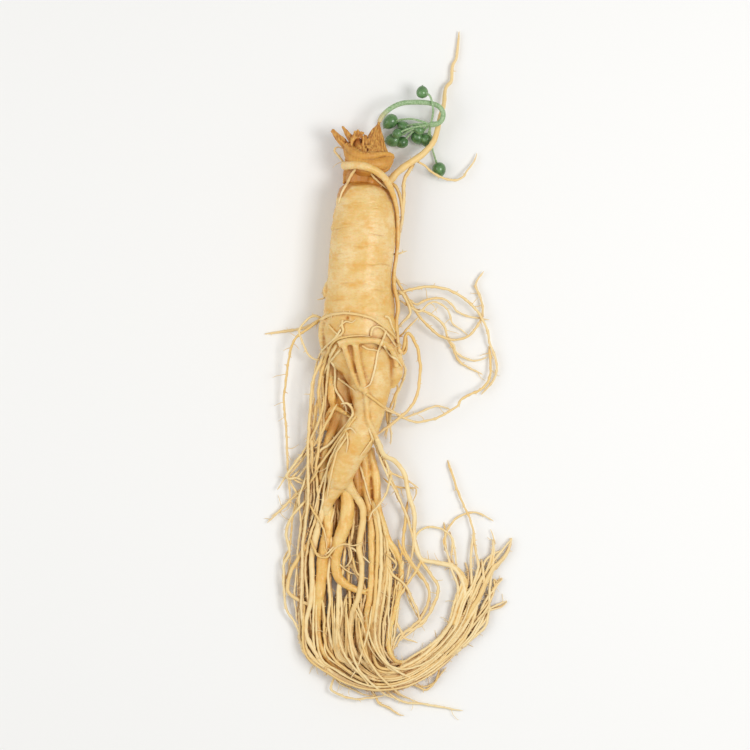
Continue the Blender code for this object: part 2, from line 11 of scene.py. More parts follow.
import bmesh
import bpy
import numpy as np
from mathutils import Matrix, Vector, noise
from mathutils.bvhtree import BVHTree


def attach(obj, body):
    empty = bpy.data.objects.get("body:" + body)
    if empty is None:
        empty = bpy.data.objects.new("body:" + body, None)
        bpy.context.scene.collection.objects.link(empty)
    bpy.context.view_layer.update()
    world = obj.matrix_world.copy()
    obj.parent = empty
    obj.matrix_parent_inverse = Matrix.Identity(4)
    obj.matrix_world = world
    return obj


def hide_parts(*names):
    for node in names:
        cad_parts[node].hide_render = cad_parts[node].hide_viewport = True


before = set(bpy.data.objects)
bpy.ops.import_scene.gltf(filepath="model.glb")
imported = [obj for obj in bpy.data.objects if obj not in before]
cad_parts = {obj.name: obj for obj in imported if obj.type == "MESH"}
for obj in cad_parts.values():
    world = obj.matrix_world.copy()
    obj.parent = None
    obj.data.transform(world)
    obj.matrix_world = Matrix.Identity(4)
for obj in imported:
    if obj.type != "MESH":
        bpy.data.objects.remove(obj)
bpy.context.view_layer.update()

MM = 0.001
PIXEL = 0.5 * MM
ORIGIN_PIXEL = (360, 326)
AXIS_HEIGHT = 14.6
DEPTH_PER_WIDTH = 0.88
ROUGH_VOXEL = 1.2 * MM
BODY_VOXEL = 0.5 * MM
CROWN_VOXEL = 0.26 * MM
FORM_STEP = 4
FORM_BEVEL = 16
FINE_STEP = 2
STRAND_STEP = 1.8
START_CAP = 0.6
END_CAP = 0.9
TINY = 1e-12
SHADE_REACH = 7 * MM
SHADE_RAYS = 14
FLOOR_LIFT = 0.05
WELD = 0.01 * MM
ABOVE_EVERYTHING = 0.1
SINK_SHARE = 0.25
SEED = 7

PHOTO_SIZE = 750
CAMERA_DISTANCE = 2.4
SENSOR = 36
FLOOR_SIZE = 8
# Lights: (name, place, size, watts)
LIGHTS = (("key", (0.55, 0, 0.9), 0.4, 4.9), ("fill", (-0.8, 0, 0.8), 0.8, 3.4))
SKY_COLOUR = (1, 0.99, 0.97, 1)
SKY_STRENGTH = 0.56
FLOOR_GREY = (0.88, 0.88, 0.87, 1)

# The body, as (x, y, width), and the thick forms of the neck, hips and legs
BODY = [(x, y, AXIS_HEIGHT, width) for x, y, width in (
    (366, 184, 11), (365.8, 186, 17.5), (365.4, 189, 22), (364.6, 193, 25), (363.8, 200, 27.6),
    (364, 207, 29.2), (363.9, 216, 31), (362.9, 240, 32.4), (361.5, 255, 32.2), (360, 270, 31.7),
    (359, 292, 32.5), (359, 315, 35.5), (360, 332, 36), (361, 350, 33), (366, 366, 26), (369, 380, 21),
)]
NECKS = [[(x + 2, 194), (x, 184), (x, 172), (x + 1, 162)] for x in (357, 365, 373)]
LEG_FORMS = [
    *([(x, y, 12.5, 11) for x, y in neck] for neck in NECKS),
    # bump of the neck, and skin at the shoulder and the waist
    [(370, 185, 17, 3), (371, 182, 17.5, 4), (372, 178, 17, 3)],
    [(385, 186, 12, 4), (388.5, 194, 11.5, 4.6), (390.6, 205, 11, 5), (392.2, 220, 10.5, 5),
     (393, 236, 10, 4)],
    [(385.6, 276, 13, 5), (386, 288, 13, 6.2), (387, 299, 13, 7.4), (387.6, 309, 13, 7.6),
     (387.4, 320, 13, 7), (386, 330, 13, 5)],
    # main leg
    [(365, 350, 14, 28), (370, 372, 13.5, 23.5), (370, 392, 13, 20), (369, 411, 13, 16),
     (362, 430, 12.5, 16), (353, 447, 12, 15), (345, 465, 11, 13.5), (340, 478, 9.8, 13),
     (339, 487, 8.8, 10.5)],
    # left leg and the flesh deep between it and the hip
    [(346, 348, 11, 14), (340, 366, 8, 10.5), (343, 385, 7, 8.5), (346, 405, 6.5, 7.5), (348, 425, 6, 7),
     (354, 444, 5.5, 7), (364, 459, 5, 6)],
    [(343, 388, 4.5, 9), (340, 404, 3.8, 9), (338.5, 420, 3.6, 9), (337, 434, 3.2, 6)],
    # left hip and right hip
    [(334, 322, 13, 9), (330, 340, 12, 9), (329, 358, 10, 7), (331, 376, 8, 5)],
    [(386, 343, 18, 7), (392, 350, 17, 8), (395.5, 362, 15.5, 7.4), (395.5, 375, 14, 6.8),
     (391, 387, 13, 4)],
    # the two ends of the main leg
    [(339, 482, 9.5, 10), (332, 494, 7.8, 7.5), (327, 505, 6.8, 5.6), (326, 516, 6.3, 4)],
    [(345, 480, 9.5, 8), (352, 491, 9, 5), (358, 499, 8.6, 4.2), (362.5, 508, 8, 2.8)],
]


def place(x, y, height):
    """The point of the frame that a pixel and a height in millimetres stand for."""
    return Vector(((x - ORIGIN_PIXEL[0]) * PIXEL, (ORIGIN_PIXEL[1] - y) * PIXEL, height * MM))


def pixels(points):
    """The x and y, in pixels, of points in metres."""
    return points[:, 0] / PIXEL + ORIGIN_PIXEL[0], ORIGIN_PIXEL[1] - points[:, 1] / PIXEL


def unit(vectors):
    """The vectors at length 1, row by row."""
    return vectors / (np.linalg.norm(vectors, axis=-1, keepdims=True) + TINY)


def smooth_route(points, step):
    """A Catmull-Rom curve through the points, with a new point about every step pixels."""
    ends = [points[0]] + list(points) + [points[-1]]
    smooth = []
    for before, start, end, after in zip(ends, ends[1:], ends[2:], ends[3:]):
        length = math.dist(start[:2], end[:2])
        count = max(1, round(length / step))
        for i in range(count):
            t = i / count
            smooth.append(tuple(
                b + (c - a) * t / 2 + (a - 2.5 * b + 2 * c - d / 2) * t**2
                + (3 * b - a - 3 * c + d) * t**3 / 2
                for a, b, c, d in zip(before, start, end, after)
            ))
    smooth.append(tuple(points[-1]))
    return smooth


class Tubes:
    """Many closed tubes in one mesh, with a few values a point for the materials to read."""

    def __init__(self):
        self.points = []
        self.faces = []
        self.values = {"tint": [], "tip": []}
        self.rings = []
        self.count = 0

    def add(self, centres, radii, sides, tint, tips):
        """A tube round the centres, in metres. Its tips go from 0 at its root to 1 at its free end."""
        count = len(centres)
        tangents = unit(np.gradient(centres, axis=0))
        side = np.cross(tangents[0], (0.0, 0.0, 1.0))
        if np.linalg.norm(side) < 0.1:
            side = np.cross(tangents[0], (1.0, 0.0, 0.0))
        sides_of = np.empty((count, 3))
        for i in range(count):
            side = unit(side - tangents[i] * side.dot(tangents[i]))
            sides_of[i] = side
        ups = np.cross(sides_of, tangents)
        angles = np.arange(sides) * 2 * math.pi / sides
        ring = sides_of[:, None] * np.cos(angles)[:, None] + ups[:, None] * np.sin(angles)[:, None]
        verts = centres[:, None] + ring * radii[:, None, None]
        first = self.count
        self.points.append(verts.reshape(-1, 3))
        self.points.append(np.array([
            centres[0] - tangents[0] * radii[0] * START_CAP,
            centres[-1] + tangents[-1] * radii[-1] * END_CAP,
        ]))
        start_cap = first + count * sides
        end_cap = start_cap + 1
        for i in range(count - 1):
            low = first + i * sides
            high = low + sides
            for k in range(sides):
                n = (k + 1) % sides
                self.faces.append((low + k, high + k, high + n, low + n))
        last = first + (count - 1) * sides
        for k in range(sides):
            n = (k + 1) % sides
            self.faces.append((start_cap, first + k, first + n))
            self.faces.append((end_cap, last + n, last + k))
        self.rings.append((centres, radii, sides))
        self.values["tint"].append(np.full(count * sides + 2, tint))
        self.values["tip"].append(np.concatenate([np.repeat(tips, sides), [tips[0], tips[-1]]]))
        self.count += count * sides + 2

    def piece(self, name, material):
        """The tubes as one object."""
        mesh = bpy.data.meshes.new(name)
        mesh.from_pydata(np.concatenate(self.points).tolist(), [], self.faces)
        for value, parts in self.values.items():
            write_value(mesh, value, np.concatenate(parts))
        mesh.update()
        mesh.shade_smooth()
        mesh.materials.append(material)
        obj = bpy.data.objects.new(name, mesh)
        bpy.context.scene.collection.objects.link(obj)
        return obj


def tube_mesh(points, bevel):
    """A closed tube along route points, as a mesh."""
    curve = bpy.data.curves.new("form", "CURVE")
    curve.dimensions = "3D"
    curve.bevel_depth = MM / 2
    curve.bevel_resolution = bevel
    curve.use_fill_caps = True
    spline = curve.splines.new("POLY")
    spline.points.add(len(points) - 1)
    for spline_point, (x, y, height, width) in zip(spline.points, points):
        spline_point.co = (*place(x, y, height), 1)
        spline_point.radius = width
    obj = bpy.data.objects.new("form", curve)
    bpy.context.scene.collection.objects.link(obj)
    graph = bpy.context.evaluated_depsgraph_get()
    graph.update()
    mesh = bpy.data.meshes.new_from_object(obj.evaluated_get(graph))
    bpy.data.objects.remove(obj, do_unlink=True)
    weld = bmesh.new()
    weld.from_mesh(mesh)
    bmesh.ops.remove_doubles(weld, verts=weld.verts, dist=WELD)
    bmesh.ops.recalc_face_normals(weld, faces=weld.faces)
    weld.to_mesh(mesh)
    weld.free()
    return mesh


def melted(name, meshes, voxel, smoothing):
    """One skin round all the meshes, with faces of about the voxel's size."""
    joined = bmesh.new()
    for mesh in meshes:
        joined.from_mesh(mesh)
    mesh = bpy.data.meshes.new(name)
    joined.to_mesh(mesh)
    joined.free()
    obj = bpy.data.objects.new(name, mesh)
    bpy.context.scene.collection.objects.link(obj)
    remesh = obj.modifiers.new("remesh", "REMESH")
    remesh.mode = "VOXEL"
    remesh.voxel_size = voxel
    smooth = obj.modifiers.new("smooth", "SMOOTH")
    smooth.factor = 0.5
    smooth.iterations = smoothing
    graph = bpy.context.evaluated_depsgraph_get()
    graph.update()
    baked = bpy.data.meshes.new_from_object(obj.evaluated_get(graph))
    obj.modifiers.clear()
    obj.data = baked
    baked.shade_smooth()
    return obj


def flattened(mesh):
    """The mesh with its section round the body's axis made less deep than wide."""
    axis = AXIS_HEIGHT * MM
    for vertex in mesh.vertices:
        vertex.co.z = axis + (vertex.co.z - axis) * DEPTH_PER_WIDTH
    return mesh


def vertex_values(mesh, name="co"):
    """The places of the mesh's points, or their normals, as an n by 3 array."""
    values = np.empty(len(mesh.vertices) * 3, np.float32)
    mesh.vertices.foreach_get(name, values)
    return values.reshape(-1, 3).astype(np.float64)


def set_coordinates(mesh, points):
    mesh.vertices.foreach_set("co", points.astype(np.float32).ravel())
    mesh.update()


def edge_pairs(mesh):
    pairs = np.empty(len(mesh.edges) * 2, np.int32)
    mesh.edges.foreach_get("vertices", pairs)
    return pairs.reshape(-1, 2)


def neighbour_mean(values, pairs, rounds):
    """The values after each point takes the mean of itself and its neighbours, this many times."""
    values = values.copy()
    flat = values.reshape(len(values), -1)
    weight = np.bincount(pairs.ravel(), minlength=len(values)).astype(float)
    for _ in range(rounds):
        total = np.empty_like(flat)
        for column in range(flat.shape[1]):
            total[:, column] = (
                np.bincount(pairs[:, 0], weights=flat[pairs[:, 1], column], minlength=len(flat))
                + np.bincount(pairs[:, 1], weights=flat[pairs[:, 0], column], minlength=len(flat))
            )
        flat = 0.5 * flat + 0.5 * total / weight[:, None]
    return flat.reshape(values.shape)


def write_value(mesh, name, values):
    """Stores a value for each point of the mesh, for the materials to read."""
    attribute = mesh.attributes.new(name, "FLOAT", "POINT")
    attribute.data.foreach_set("value", np.asarray(values, dtype=np.float32))


def write_folds(mesh, fine_rounds, broad_rounds, scale):
    """Stores how far each point lies in a fold (towards 1) or on a ridge (towards 0); 0.5 is flat."""
    points = vertex_values(mesh)
    out = vertex_values(mesh, "normal")
    pairs = edge_pairs(mesh)
    fine = neighbour_mean(points, pairs, fine_rounds)
    broad = neighbour_mean(fine, pairs, broad_rounds)
    depth = ((fine - points) * out).sum(1) + 0.6 * ((broad - points) * out).sum(1)
    write_value(mesh, "fold", np.clip(0.5 + depth / scale, 0, 1))


def noise_at(points, scale, seed):
    """Smooth noise from -1 to 1 at each point. scale is the size of its bumps in metres."""
    offset = Vector((seed * 13.7, seed * 7.3, seed * 3.1))
    return np.array([noise.noise(Vector(point) / scale + offset) for point in points])


def bumps(points, layers):
    """How far each point moves for layers of noise: (depth in mm, stretch, size in mm, seed)."""
    return sum(
        depth * MM * noise_at(points * stretch, size * MM, seed) for depth, stretch, size, seed in layers
    )


# Body, hips and legs
RIB_ROUTES = [
    [(344.5, 346, 30, 2.6), (349, 360, 27, 2.8), (354, 376, 24, 2.8), (359.5, 388, 22, 3)],
    [(355.6, 345, 31, 3.2), (357.6, 360, 28, 3.4), (361, 375, 26, 3.4), (364.5, 387, 24, 3.2),
     (366, 394, 23, 2.8)],
    [(360, 387.5, 23, 3.6), (363, 389.5, 23, 3.6)],
    [(366, 392, 22, 2.6), (366.6, 402, 22, 2.5), (367.2, 411.5, 21, 2.5), (368.5, 421, 20, 2.4),
     (373, 430.6, 19, 2.4), (376.8, 439, 17, 2.4), (381, 448, 14, 2.4)],
    [(339, 344.5, 29, 3.4), (346, 342.5, 30, 3.6), (352, 341.5, 31, 3.6), (365, 340.5, 32, 3.6),
     (374, 341, 31, 3.6), (381, 343, 29.5, 3.6), (388, 346.5, 26, 3.4), (392.5, 352, 23, 3.2),
     (395.5, 359, 19.5, 3), (396.5, 367, 17, 2.4)],
    [(325, 318, 17, 3.2), (322, 326, 16, 3.2), (321, 336, 15, 3), (323, 348, 13, 2.8)],
    [(327.5, 283, 15, 2.2), (325.5, 289, 16, 2.2), (326, 297, 17, 2)],
]
WRAP_ROUTE = [
    (344, 166.5, 18, 4), (350, 166.3, 22, 4.2), (357, 166, 24, 4.2), (364, 167.5, 25, 4.1),
    (371, 169.8, 24.5, 4), (377, 172.8, 23.5, 3.9), (383, 177.3, 22, 3.7), (388, 184, 20, 3.4),
    (392.3, 193, 17.5, 3), (395.6, 205, 16, 2.5), (397.4, 219, 15, 2.2), (397.6, 241, 14.5, 2.1),
    (396.2, 257, 14.5, 2.1), (394, 272, 14.5, 2.2), (394, 286, 15, 2.2), (397.2, 300, 15, 2.2),
    (397.8, 310, 15, 2.2), (396, 323, 15, 2.2), (397, 334.6, 15, 2.2), (398, 346, 15, 2.2),
    (400.3, 352.4, 14.5, 2.1), (403.8, 353, 14, 1.9), (406.2, 348.8, 13.5, 1.6), (406.6, 341.5, 13, 1.3),
    (406.2, 336, 12.5, 1),
]
# Named wrinkles: (y, first x, last x, depth in millimetres)
WRINKLES = [
    (229, 332, 352, 0.4), (236, 370, 385, 0.3), (247, 350, 367, 0.28), (210.5, 373, 382, 0.28),
    (266, 371, 392, 0.4), (274, 370, 378, 0.22), (222, 340, 350, 0.2), (255, 333, 345, 0.25),
    (284, 336, 352, 0.22), (291, 372, 388, 0.25), (305, 352, 366, 0.2), (196, 350, 364, 0.2),
    (203, 366, 380, 0.2), (300, 330, 341, 0.25), (216, 352, 362, 0.18),
]
RANDOM_WRINKLES = 150
# The upper edge of the body's dome, above which the neck is darker with painted shade under the collar and
# the wrap root
DOME_EDGE = (
    (343, 347.5, 352, 360, 369, 377, 384, 390, 394), (198, 192, 187.5, 186, 185.5, 187, 191, 198, 206),
)
DOME_END = 200
DOME_STRENGTH = 0.85
# Places of painted shade deep in the folds, which fades out above the highest point: (x, y, half width, half
# length, highest, strength)
DEEP_SHADE_SPOTS = [
    (349, 382, 3, 9, 21, 0.8), (352, 398, 3.2, 8, 18, 1), (355, 411, 4, 4, 18, 0.9),
    (343, 396, 7, 20, 15, 0.6), (337, 420, 6, 12, 12, 1), (391, 369, 1.5, 12, 22, 0.9),
    (360, 180, 5, 4, 24, 0.9), (383, 184, 4, 5, 20, 0.9), (347.6, 318.4, 1, 1.6, 40, 1),
    (333, 374, 1.4, 9, 20, 0.9), (341.5, 373, 3.4, 3.4, 18, 0.9), (352, 356, 1.8, 10, 30, 0.5),
    (362, 352, 1.6, 7, 30, 0.35), (347, 186, 4, 5, 14, 0.6),
]
# The same painted shade for the deep spots of the fingers and the wrap root
FINGER_DEEP_SHADE_SPOTS = [
    (335, 424, 8, 16, 14, 0.75), (358, 474, 5, 22, 9, 0.75), (357, 510, 5, 24, 8, 0.85),
    (373.5, 474, 3, 34, 5.4, 0.95), (332, 462, 5, 26, 6.4, 0.8), (335, 515, 6, 26, 5.4, 0.95),
    (324, 468, 6, 14, 5, 0.5), (381, 500, 2, 40, 5.4, 0.5), (354, 418, 5, 6, 12, 0.4),
    (328, 390, 6, 34, 7.4, 0.85),
]
PIT = (347.6, 318.4)
SHOULDER_KNOB = (331.5, 228)


def drape(points, surface, share=SINK_SHARE):
    """The same points, lifted where they would be inside the surface, so that they lie on it."""
    laid = []
    for x, y, height, width in points:
        lowest = width / 2 + FLOOR_LIFT
        spot = place(x, y, ABOVE_EVERYTHING / MM)
        hit, _, _, _ = surface.ray_cast(spot, Vector((0, 0, -1)))
        if hit is not None:
            lowest = hit.z / MM + width * (0.5 - share)
        laid.append((x, y, max(height, lowest), width))
    return laid


def body_line(y):
    """The body's centre and half width, in metres, at heights along its length in metres."""
    ys = [(ORIGIN_PIXEL[1] - point[1]) * PIXEL for point in BODY][::-1]
    xs = [(point[0] - ORIGIN_PIXEL[0]) * PIXEL for point in BODY][::-1]
    halves = [point[3] * MM / 2 for point in BODY][::-1]
    return np.interp(y, ys, xs), np.interp(y, ys, halves)


def wrinkled(points, out, rng):
    """How far each point of the body moves along its normal, for its rings, scars and bumps."""
    centre, _ = body_line(points[:, 1])
    around = np.arctan2(points[:, 0] - centre, points[:, 2] - AXIS_HEIGHT * MM)
    on_body = np.clip((points[:, 1] - place(0, 392, 0).y) / (16 * MM), 0, 1)
    move = np.zeros(len(points))
    rings = []
    for y, first, last, depth in WRINKLES:
        line = place(0, y, 0).y
        middle, wide = body_line(line)
        low, high = (math.asin(max(-1, min(1, (place(x, y, 0).x - middle) / wide))) for x in (first, last))
        rings.append((line, (low + high) / 2, (high - low) / 2, depth * 0.8 * MM, 0.4 * MM, 0.0))
    for _ in range(RANDOM_WRINKLES):
        y = place(0, rng.triangular(186, 372, 215), 0).y
        rings.append((
            y, rng.uniform(-math.pi, math.pi), rng.uniform(0.2, 0.9), rng.uniform(0.04, 0.15) * MM,
            rng.uniform(0.35, 0.6) * MM, rng.uniform(-1.2, 1.2) * MM,
        ))
    for y, middle, span, depth, width, slant in rings:
        turn = (around - middle + math.pi) % (2 * math.pi) - math.pi
        near = np.clip(1.25 - np.abs(turn) / span, 0, 1) ** 0.7
        line = y + slant * turn + 0.5 * MM * np.sin(5 * turn + y * 900)
        gap = (points[:, 1] - line) / width
        move += near * depth * (-np.exp(-gap**2) + 0.5 * np.exp(-(gap - 1.9) ** 2))
    move *= on_body
    for (x, y), depth, width in ((PIT, -1.2, 0.8), (SHOULDER_KNOB, 0.7, 1.3)):
        spot = place(x, y, 0)
        away = np.hypot(points[:, 0] - spot.x, points[:, 1] - spot.y)
        move += (out[:, 2] > -0.2) * depth * MM * np.exp(-((away / (width * MM)) ** 2))
    return move


def deep_shade_at(points, spots):
    """How much painted shade darkens the skin at each point, from 0 to 1."""
    x, y = pixels(points)
    height = points[:, 2] / MM
    values = np.zeros(len(points))
    for middle_x, middle_y, wide, long, highest, strength in spots:
        away = ((x - middle_x) / wide) ** 2 + ((y - middle_y) / long) ** 2
        values = np.maximum(values, strength * np.exp(-away) * np.clip((highest - height) / 2 + 0.5, 0, 1))
    return values


def body_piece(material):
    """The body, neck, hips and legs in one skin, with ribs, wrinkles and painted shade in its deep folds and
    on its neck.
    """
    rng = random.Random(SEED)
    forms = [flattened(tube_mesh(smooth_route(BODY, FORM_STEP), FORM_BEVEL))]
    forms += [tube_mesh(smooth_route(route, FORM_STEP), FORM_BEVEL) for route in LEG_FORMS]
    rough = melted("rough_body", forms, ROUGH_VOXEL, 3)
    surface = BVHTree.FromObject(rough, bpy.context.evaluated_depsgraph_get())
    ridges = [drape(smooth_route(route, FORM_STEP), surface, 0.35) for route in RIB_ROUTES]
    forms += [tube_mesh(route, 3) for route in ridges]
    bpy.data.objects.remove(rough, do_unlink=True)
    body = melted("root_body", forms, BODY_VOXEL, 3)
    points = vertex_values(body.data)
    out = vertex_values(body.data, "normal")
    move = bumps(points, ((0.55, (1, 0.6, 1), 14, 1), (0.22, (1, 1.4, 1), 4.5, 2), (0.1, (1, 3, 1), 2.4, 3)))
    move += wrinkled(points, out, rng)
    points += out * move[:, None]
    points[:, 2] = np.maximum(points[:, 2], 0)
    set_coordinates(body.data, points)
    write_folds(body.data, 3, 18, 1.1 * MM)
    x, y = pixels(points)
    # Painted shade on the neck above the dome and in the deep spots
    dome = np.clip((np.interp(x, *DOME_EDGE) - y) / 2.5 + 0.5, 0, 1) * (y < DOME_END) * DOME_STRENGTH
    write_value(body.data, "deep_shade", np.maximum(dome, deep_shade_at(points, DEEP_SHADE_SPOTS)))
    body.data.materials.append(material)
    return body


# Fruit stalk, whose base stays about half a millimetre clear of the crown's right spike
STALK_WIDTH = 2.5
STALK = [
    (379.2, 122.2, 15), (383, 115.4, 15), (391.4, 108.4, 15), (401, 104, 14.8), (411, 102.8, 14.5),
    (422, 102.8, 14.2), (432, 104, 13.8), (439, 107, 13.3), (443, 113, 12.8), (442, 120, 12.2),
    (437, 124, 11.6), (430.5, 124.5, 11.2),
]
UMBEL = (430.5, 124.5, 11.2)
PEDICEL_WIDTH = 1.1
# Berries: (x, y, height, width, length, turn in degrees of its long axis from the x axis)
BERRIES = {
    "top": (422.2, 92.3, 12, 6.0, 6.4, 90),
    "left": (390.2, 121.2, 5, 6.8, 8.6, 45),
    "left_near": (403.6, 126, 4, 5.4, 7.2, -35),
    "low_left": (393, 139.6, 4, 6.8, 8.0, 10),
    "low_left_near": (402, 142, 4.5, 5.8, 6.4, 20),
    "middle": (418, 137, 4, 6.6, 7.4, -50),
    "middle_right": (426.6, 139.5, 4.4, 6.8, 7.4, -70),
    "lowest": (439.3, 169, 4, 6.8, 7.4, -70),
    "middle_top": (418.6, 129.4, 8.6, 4.8, 6.2, -35),
    "low_left_top": (397, 133.4, 8.4, 4.6, 5.6, 30),
}
# Where each pedicel bends on its way from the umbel to its berry: (x, y, height)
PEDICEL_BENDS = {
    "top": [(433, 112, 15.5), (430, 97, 16)],
    "left": [(411, 119, 10)],
    "left_near": [(416, 124, 9)],
    "low_left": [(411, 130, 9)],
    "low_left_near": [(415, 130, 8)],
    "middle_top": [(425, 126, 10)],
    "low_left_top": [(411, 128, 10.5)],
    "middle": [(424, 130, 8)],
    "middle_right": [(429, 132, 8)],
    "lowest": [(430, 133, 8), (432, 146, 2.5), (436, 160, 2.5)],
}


# Materials and their colours
CREAM = (0.77, 0.50, 0.155, 1)
WARM = (0.75, 0.40, 0.07, 1)
PALE = (0.84, 0.63, 0.30, 1)
# Colours of painted shade: in the folds, where rays are shut in, and in the deep spots
FOLD_SHADE_BROWN = (0.46, 0.15, 0.02, 1)
SHADE_ORANGE = (0.38, 0.115, 0.01, 1)
DEEP_SHADE_BROWN = (0.50, 0.185, 0.016, 1)
GOLD = (0.79, 0.46, 0.11, 1)
GOLD_PALE = (0.86, 0.62, 0.24, 1)


class Shader:
    """A material with one Principled BSDF, and short ways to add the nodes that feed it."""

    def __init__(self, name, sockets):
        self.material = bpy.data.materials.new(name)
        self.material.use_nodes = True
        self.nodes = self.material.node_tree.nodes
        self.links = self.material.node_tree.links
        self.bsdf = self.nodes["Principled BSDF"]
        for socket, value in sockets.items():
            self.bsdf.inputs[socket].default_value = value
        self.place = self.nodes.new("ShaderNodeTexCoord").outputs["Object"]

    def add(self, kind, sockets, **settings):
        """A new node's output. Each of the node's sockets is linked to another output or set to a value."""
        node = self.nodes.new(kind)
        for name, value in settings.items():
            setattr(node, name, value)
        for name, value in sockets.items():
            target = next(s for s in node.inputs if s.name == name and s.enabled)
            if isinstance(value, bpy.types.NodeSocket):
                self.links.new(value, target)
            else:
                target.default_value = value
        return next(s for s in node.outputs if s.enabled)

    def source(self, source):
        """A value that is stored on the mesh, by its name, or else a noise from its numbers."""
        if not isinstance(source, str):
            return self.noise(*source)
        node = self.nodes.new("ShaderNodeAttribute")
        node.attribute_name = source
        return node.outputs["Fac"]

    def noise(self, size, detail, stretch=(1, 1, 1)):
        """Noise from 0 to 1. Its bumps have this size in millimetres, and more where the stretch is low."""
        scale = tuple(s / (size * MM) for s in stretch)
        spot = self.add("ShaderNodeMapping", {"Vector": self.place, "Scale": scale})
        return self.add("ShaderNodeTexNoise", {"Vector": spot, "Scale": 1, "Detail": detail})

    def ramp(self, source, low, high, to_low, to_high):
        limits = {"From Min": low, "From Max": high, "To Min": to_low, "To Max": to_high}
        return self.add("ShaderNodeMapRange", {"Value": source, **limits})

    def feed(self, socket, source):
        self.links.new(source, self.bsdf.inputs[socket])


def layered(name, base, layers, grain, gloss, relief, sockets):
    """A material whose colours lie over one another, with a fine grain in its roughness and relief.

    A layer is (source, low, high, amount, colour), and comes in as its source goes from low to high. The
    grain is a noise, the gloss its (low, high) roughness and the relief its (strength, depth in mm).
    """
    skin = Shader(name, sockets)
    colour = base
    for source, low, high, amount, over in layers:
        share = skin.ramp(skin.source(source), low, high, 0, amount)
        colour = skin.add("ShaderNodeMix", {"Factor": share, "A": colour, "B": over}, data_type="RGBA")
    fine = skin.noise(*grain)
    strength, depth = relief
    skin.feed("Base Color", colour)
    skin.feed("Roughness", skin.ramp(fine, 0.3, 0.7, *gloss))
    bump = {"Height": fine, "Strength": strength, "Distance": depth * MM}
    skin.feed("Normal", skin.add("ShaderNodeBump", bump))
    return skin.material


def glossy(gloss, coat, coat_roughness):
    """The values of a skin with a sheen."""
    return {"Specular IOR Level": gloss, "Coat Weight": coat, "Coat Roughness": coat_roughness}


def flesh(weight, radius, depth, *sheen):
    """The values of a skin that lets some light in, with its depth in millimetres, and has a sheen."""
    light = {"Subsurface Weight": weight, "Subsurface Radius": radius, "Subsurface Scale": depth * MM}
    return {**light, **glossy(*sheen)}


ROOT_SOCKETS = flesh(0.25, (1, 0.5, 0.2), 2.5, 0.5, 0.12, 0.25)
STALK_SOCKETS = flesh(0.1, (0.4, 1, 0.4), 1, 0.5, 0.1, 0.3)
BERRY_SOCKETS = flesh(0.15, (0.3, 1, 0.3), 2, 0.55, 0.35, 0.12)
ROOTLET_SOCKETS = glossy(0.45, 0.06, 0.3)


def skin_material(name, cream, pale, streak):
    """The skin of a thick root, with its streaks along or across it."""
    grain = (0.7, 5, tuple(s**0.5 for s in streak))
    return layered(name, cream, [
        ((11, 3), 0.38, 0.62, 1, pale),
        ((7, 4, (1, 1.5, 1)), 0.48, 0.7, 0.85, WARM),
        ((2.2, 5, (1, 1.3, 1)), 0.5, 0.7, 0.55, pale),
        ((1.4, 4, streak), 0.54, 0.74, 0.45, WARM),
        # Painted highlight on the ridges, then painted shade where rays are shut in, in the folds and in the
        # deep spots
        ("fold", 0.42, 0.2, 0.5, pale),
        ("shade", 0.28, 0.9, 0.9, SHADE_ORANGE),
        ("fold", 0.55, 0.92, 0.9, FOLD_SHADE_BROWN),
        ("deep_shade", 0, 1, 1, DEEP_SHADE_BROWN),
        (grain, 0.5, 0.68, 0.35, WARM),
    ], grain, (0.34, 0.52), (0.5, 0.25), ROOT_SOCKETS)


def crown_material():
    return layered("crown_skin", (0.42, 0.15, 0.016, 1), [
        ((1, 4, (1.3, 0.16, 1.3)), 0.4, 0.62, 1, (0.72, 0.40, 0.085, 1)),
        ("smooth", 0, 1, 0.75, (0.68, 0.345, 0.055, 1)),
        ((6, 3), 0.45, 0.7, 0.4, (0.48, 0.17, 0.02, 1)),
        # Painted highlight on the ridges, then painted shade where rays are shut in, in the deep spots and
        # in the folds between the fibres
        ("fold", 0.4, 0.15, 0.5, (0.84, 0.55, 0.18, 1)),
        ("shade", 0.25, 0.85, 0.85, (0.30, 0.075, 0.008, 1)),
        ("deep_shade", 0, 1, 1, (0.40, 0.11, 0.01, 1)),
        ("fold", 0.52, 0.8, 1, (0.20, 0.045, 0.005, 1)),
    ], (0.5, 5, (1.6, 0.25, 1.6)), (0.45, 0.65), (0.6, 0.3), ROOT_SOCKETS)


def rootlet_material():
    return layered("rootlet_skin", (0.82, 0.55, 0.19, 1), [
        ("tint", 0, 1, 1, (0.90, 0.72, 0.38, 1)),
        ((4, 3), 0.48, 0.7, 0.4, (0.80, 0.46, 0.10, 1)),
        ("tip", 0.2, 1, 0.4, (0.90, 0.76, 0.50, 1)),
        ((0.9, 3), 0.62, 0.74, 0.3, (0.66, 0.32, 0.06, 1)),
        ("shade", 0.26, 0.85, 0.9, SHADE_ORANGE),
    ], (0.5, 4), (0.36, 0.52), (0.3, 0.15), ROOTLET_SOCKETS)


def stalk_material():
    return layered("stalk_skin", (0.20, 0.36, 0.15, 1), [
        ((0.7, 3), 0.35, 0.65, 1, (0.42, 0.55, 0.32, 1)),
        ("tip", 0.16, 0, 1, (0.66, 0.50, 0.26, 1)),
    ], (0.4, 4), (0.34, 0.5), (0.3, 0.12), STALK_SOCKETS)


def berry_material():
    return layered("berry_skin", (0.045, 0.13, 0.035, 1), [
        ((2.6, 4), 0.38, 0.66, 1, (0.13, 0.28, 0.09, 1)),
        ("tint", 0, 1, 0.5, (0.16, 0.30, 0.12, 1)),
    ], (0.8, 4), (0.2, 0.34), (0.15, 0.12), BERRY_SOCKETS)


